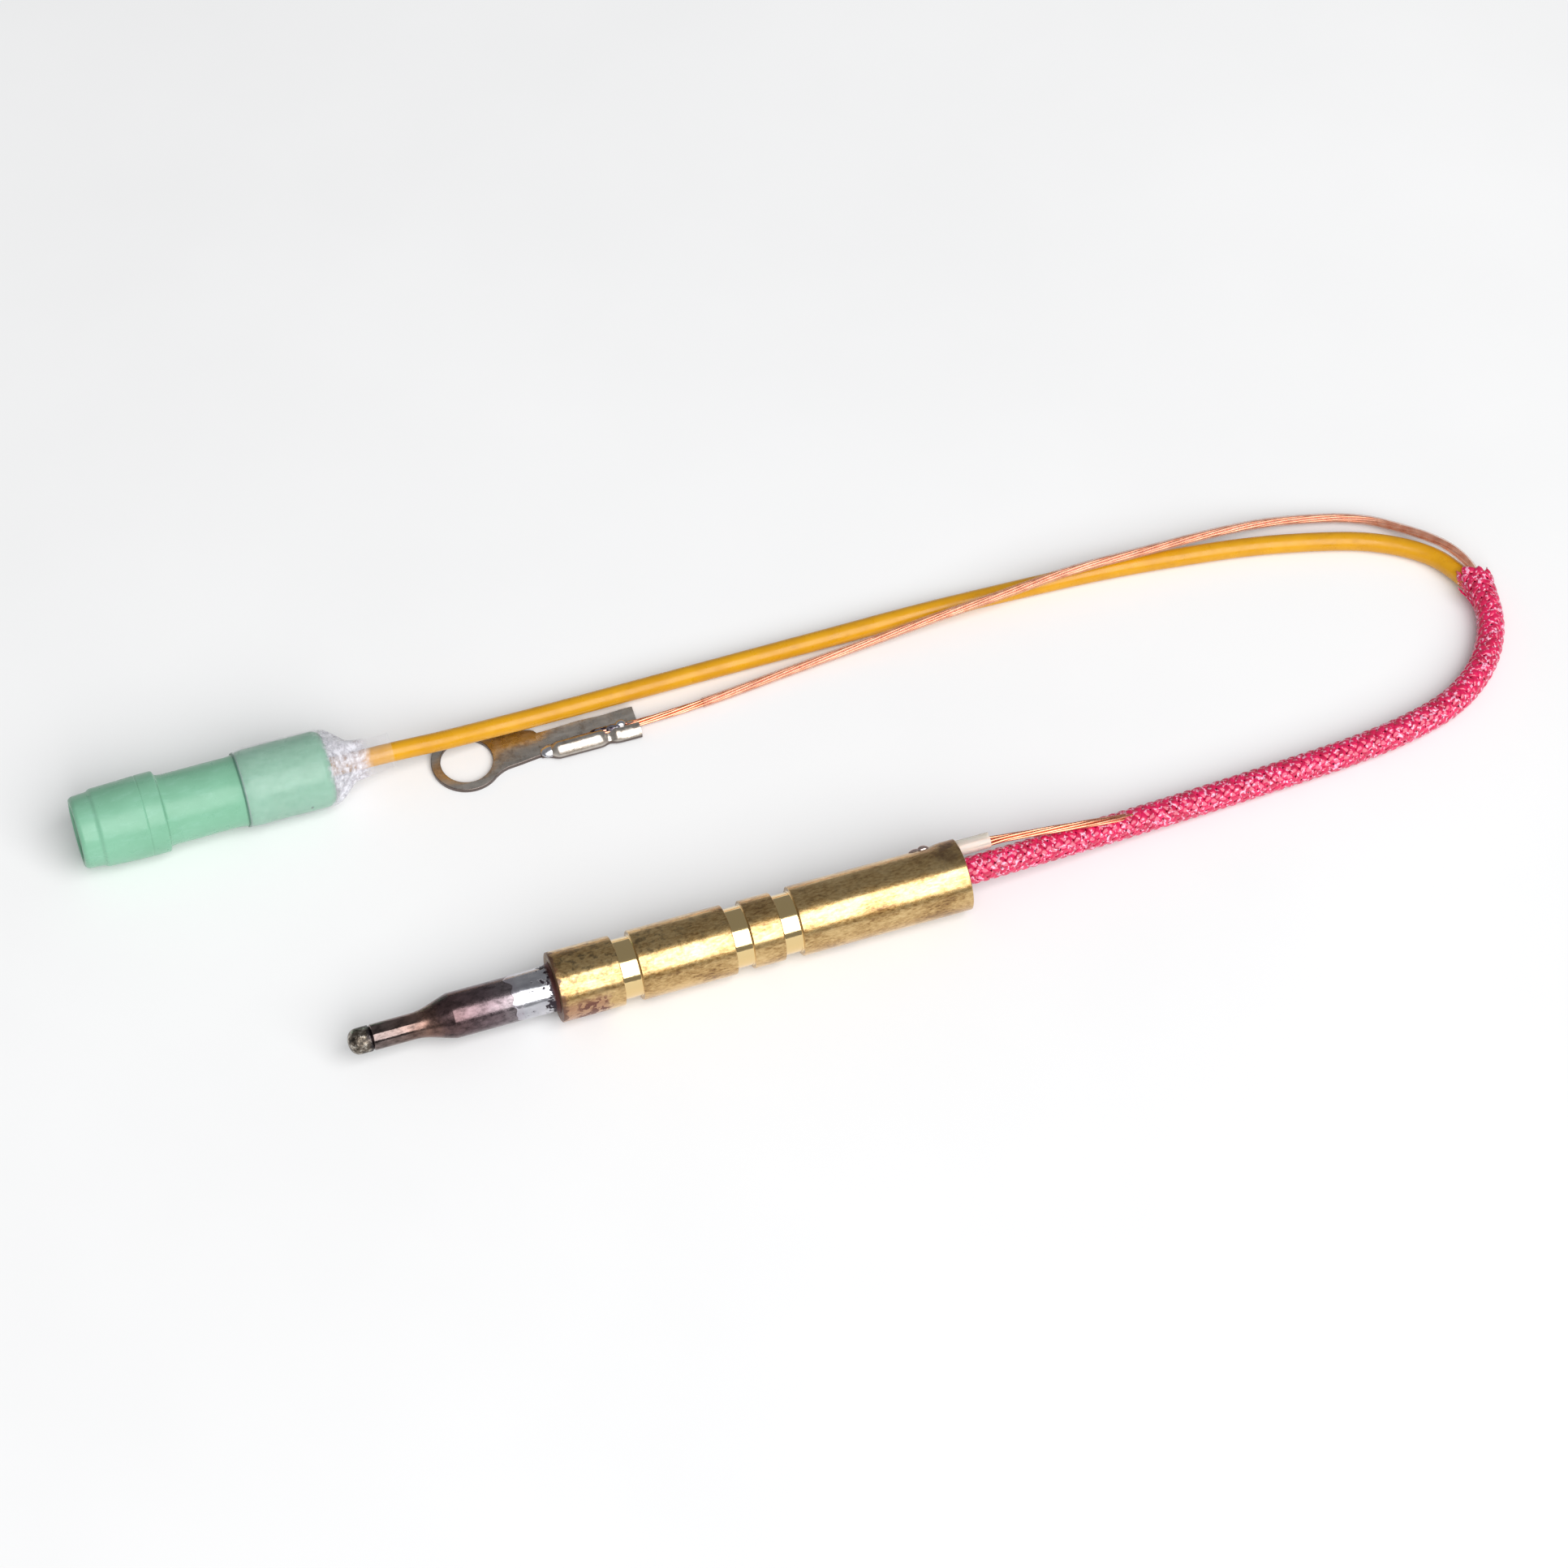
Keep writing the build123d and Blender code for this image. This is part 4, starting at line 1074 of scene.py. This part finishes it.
def shrink_piece(material):
    """The clear sleeve: tight over the boot, crumpled where it necks down to the lead."""
    x0 = shrink_low.x / MM
    outer = [
        (x0, 3.80), (x0 + 0.5, 3.92), (x0 + 1.1, 4.06), (x0 + 7.5, 4.06), (x0 + 8.6, 4.03),
        (x0 + 9.4, 3.72), (x0 + 10.2, 3.1), (x0 + 11.0, 2.55), (x0 + 11.8, 2.1),
        (x0 + 12.6, 1.88), (x0 + 15.6, 1.85),
    ]
    wall = 0.10
    inner = [(x, r - wall) for x, r in reversed(outer)]
    fine = rounded(outer + inner, 0.25, 3)
    profile = divided([(x * MM, r * MM) for x, r in fine], (x0 + 8) * MM, (x0 + 17) * MM, 0.22 * MM)
    noise = random.Random(5)
    waves = [
        (noise.randint(2, 9), noise.uniform(0.6, 2.2), noise.uniform(0, TAU)) for _ in range(9)
    ]

    def swell(x, r, angle):
        t = x / MM - x0
        funnel = min(1, max(0, (t - 8.7) / 1.2)) * (1 - 0.45 * min(1, max(0, (t - 12) / 2)))
        folds = sum(math.sin(k * angle + rate * t + phase) for k, rate, phase in waves) / 9
        crease = abs(math.sin(3 * angle + 0.8 * t)) ** 6
        return r + (0.34 * folds - 0.16 * crease) * funnel * MM

    vertices, faces = turned(profile, PLUG_AXIS, 144, swell)
    obj = piece("clear_shrink", vertices, faces, material)
    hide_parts("plug_shrink_sleeve")
    return obj


# --- Room ---


def room():
    """A plain pale floor, soft light, and the camera."""
    bpy.ops.mesh.primitive_plane_add(size=3)
    floor = bpy.context.object
    floor.name = "floor"
    paint = Paint("floor_paint", Roughness=0.9, Specular_IOR_Level=0.1)
    paint.set("Base Color", paint.fade(paint.noise(0.02), 0.86, 0.89))
    floor.data.materials.append(paint.material)

    world = bpy.data.worlds.new("studio")
    scene.world = world
    world.use_nodes = True
    background = world.node_tree.nodes["Background"]
    background.inputs["Color"].default_value = (0.97, 0.98, 1.0, 1)
    background.inputs["Strength"].default_value = 0.28

    aim = Vector((0.0187, 0.0182, 0.0))
    place = Vector((0.20, -0.72, 0.85))
    data = bpy.data.lights.new("key_softbox", "AREA")
    data.shape = "RECTANGLE"
    data.size, data.size_y = 1.3, 1.2
    data.energy = 19.5
    lamp = bpy.data.objects.new("key_softbox", data)
    lamp.location = place
    lamp.rotation_euler = (aim - place).to_track_quat("-Z", "Y").to_euler()
    scene.collection.objects.link(lamp)

    distance, height, heading = 0.529, math.radians(55), math.radians(18.25)
    away = Vector((-math.sin(heading), -math.cos(heading), 0)) * math.cos(height)
    away.z = math.sin(height)
    data = bpy.data.cameras.new("camera")
    data.lens, data.sensor_width = 121.1, 36.0
    data.clip_start = 0.01
    camera = bpy.data.objects.new("camera", data)
    camera.location = aim + away * distance
    camera.rotation_euler = (math.pi / 2 - height, 0, -heading)
    scene.collection.objects.link(camera)
    scene.camera = camera


# --- The whole object ---


def build():
    silver = solder_paint("silver_solder_paint")
    tin = tin_paint()
    copper = copper_paint()
    clear = clear_paint()

    lumpy, drawn = (4, 0.55), (1.0, 3, 0.6)
    ceramic = grained_paint(
        "ceramic_paint", (0.66, 0.63, 0.57), (0.82, 0.80, 0.75), (4.0, *lumpy), (0.2, 0.03),
        Roughness=0.8,
    )
    potting = grained_paint(
        "seal_paint", (0.05, 0.02, 0.015), (0.12, 0.05, 0.035), (1.5, *lumpy), (0.4, 0.1),
        Roughness=0.6,
    )
    alloy = grained_paint(
        "alloy_paint", (0.34, 0.33, 0.30), (0.50, 0.48, 0.45), drawn, (0.15, 0.02), (0.2, 4, 4),
        Metallic=1.0, Roughness=0.35,
    )
    contact = grained_paint(
        "contact_paint", (0.55, 0.42, 0.20), (0.74, 0.60, 0.33), drawn, (0.15, 0.02), (0.2, 3, 3),
        Metallic=1.0, Roughness=0.28,
    )
    for node, material, slot in (
        ("hot_junction_cap", tip_paint(), "tip_steel"),
        ("probe_sheath", tinted_steel_paint(), "tinted_steel"),
        ("thermoelement_core", alloy, "core_alloy"),
        ("sheath_insulator", ceramic, "ceramic_insulation"),
        ("body_liner", ceramic, "ceramic_insulation"),
        ("cold_junction_ferrule", copper, "copper"),
        ("core_lead_conductor", copper, "copper"),
        ("rear_seal", potting, "seal_compound"),
        ("plug_receptacle", contact, "contact_brass"),
        ("return_lead_liner", liner_paint(), "cream_liner"),
    ):
        repaint(node, material)

    front_solder(shank_solder_paint())
    body_piece(brass_paint())
    body_solder(solder_paint("bead_solder_paint", (0.60, 0.47, 0.44), (0.13, 0.06, 0.045), 0.38))

    braid(braid_shade_sheet_paint(), braid_paint())
    boot = boot_piece(boot_paint())
    shrink = shrink_piece(film_paint())
    core_lead(amber_paint())
    plate = terminal_plate(tin)
    crimp = terminal_crimp(tin)
    # a darker copy of the solder for the lumps in the trough between the wings: painted shade
    dull = solder_paint("trough_shade_solder_paint", (0.40, 0.37, 0.42), (0.07, 0.05, 0.07), 0.44)
    lumps = terminal_solder(silver, dull)
    return_lead(copper, clear)


build()
room()
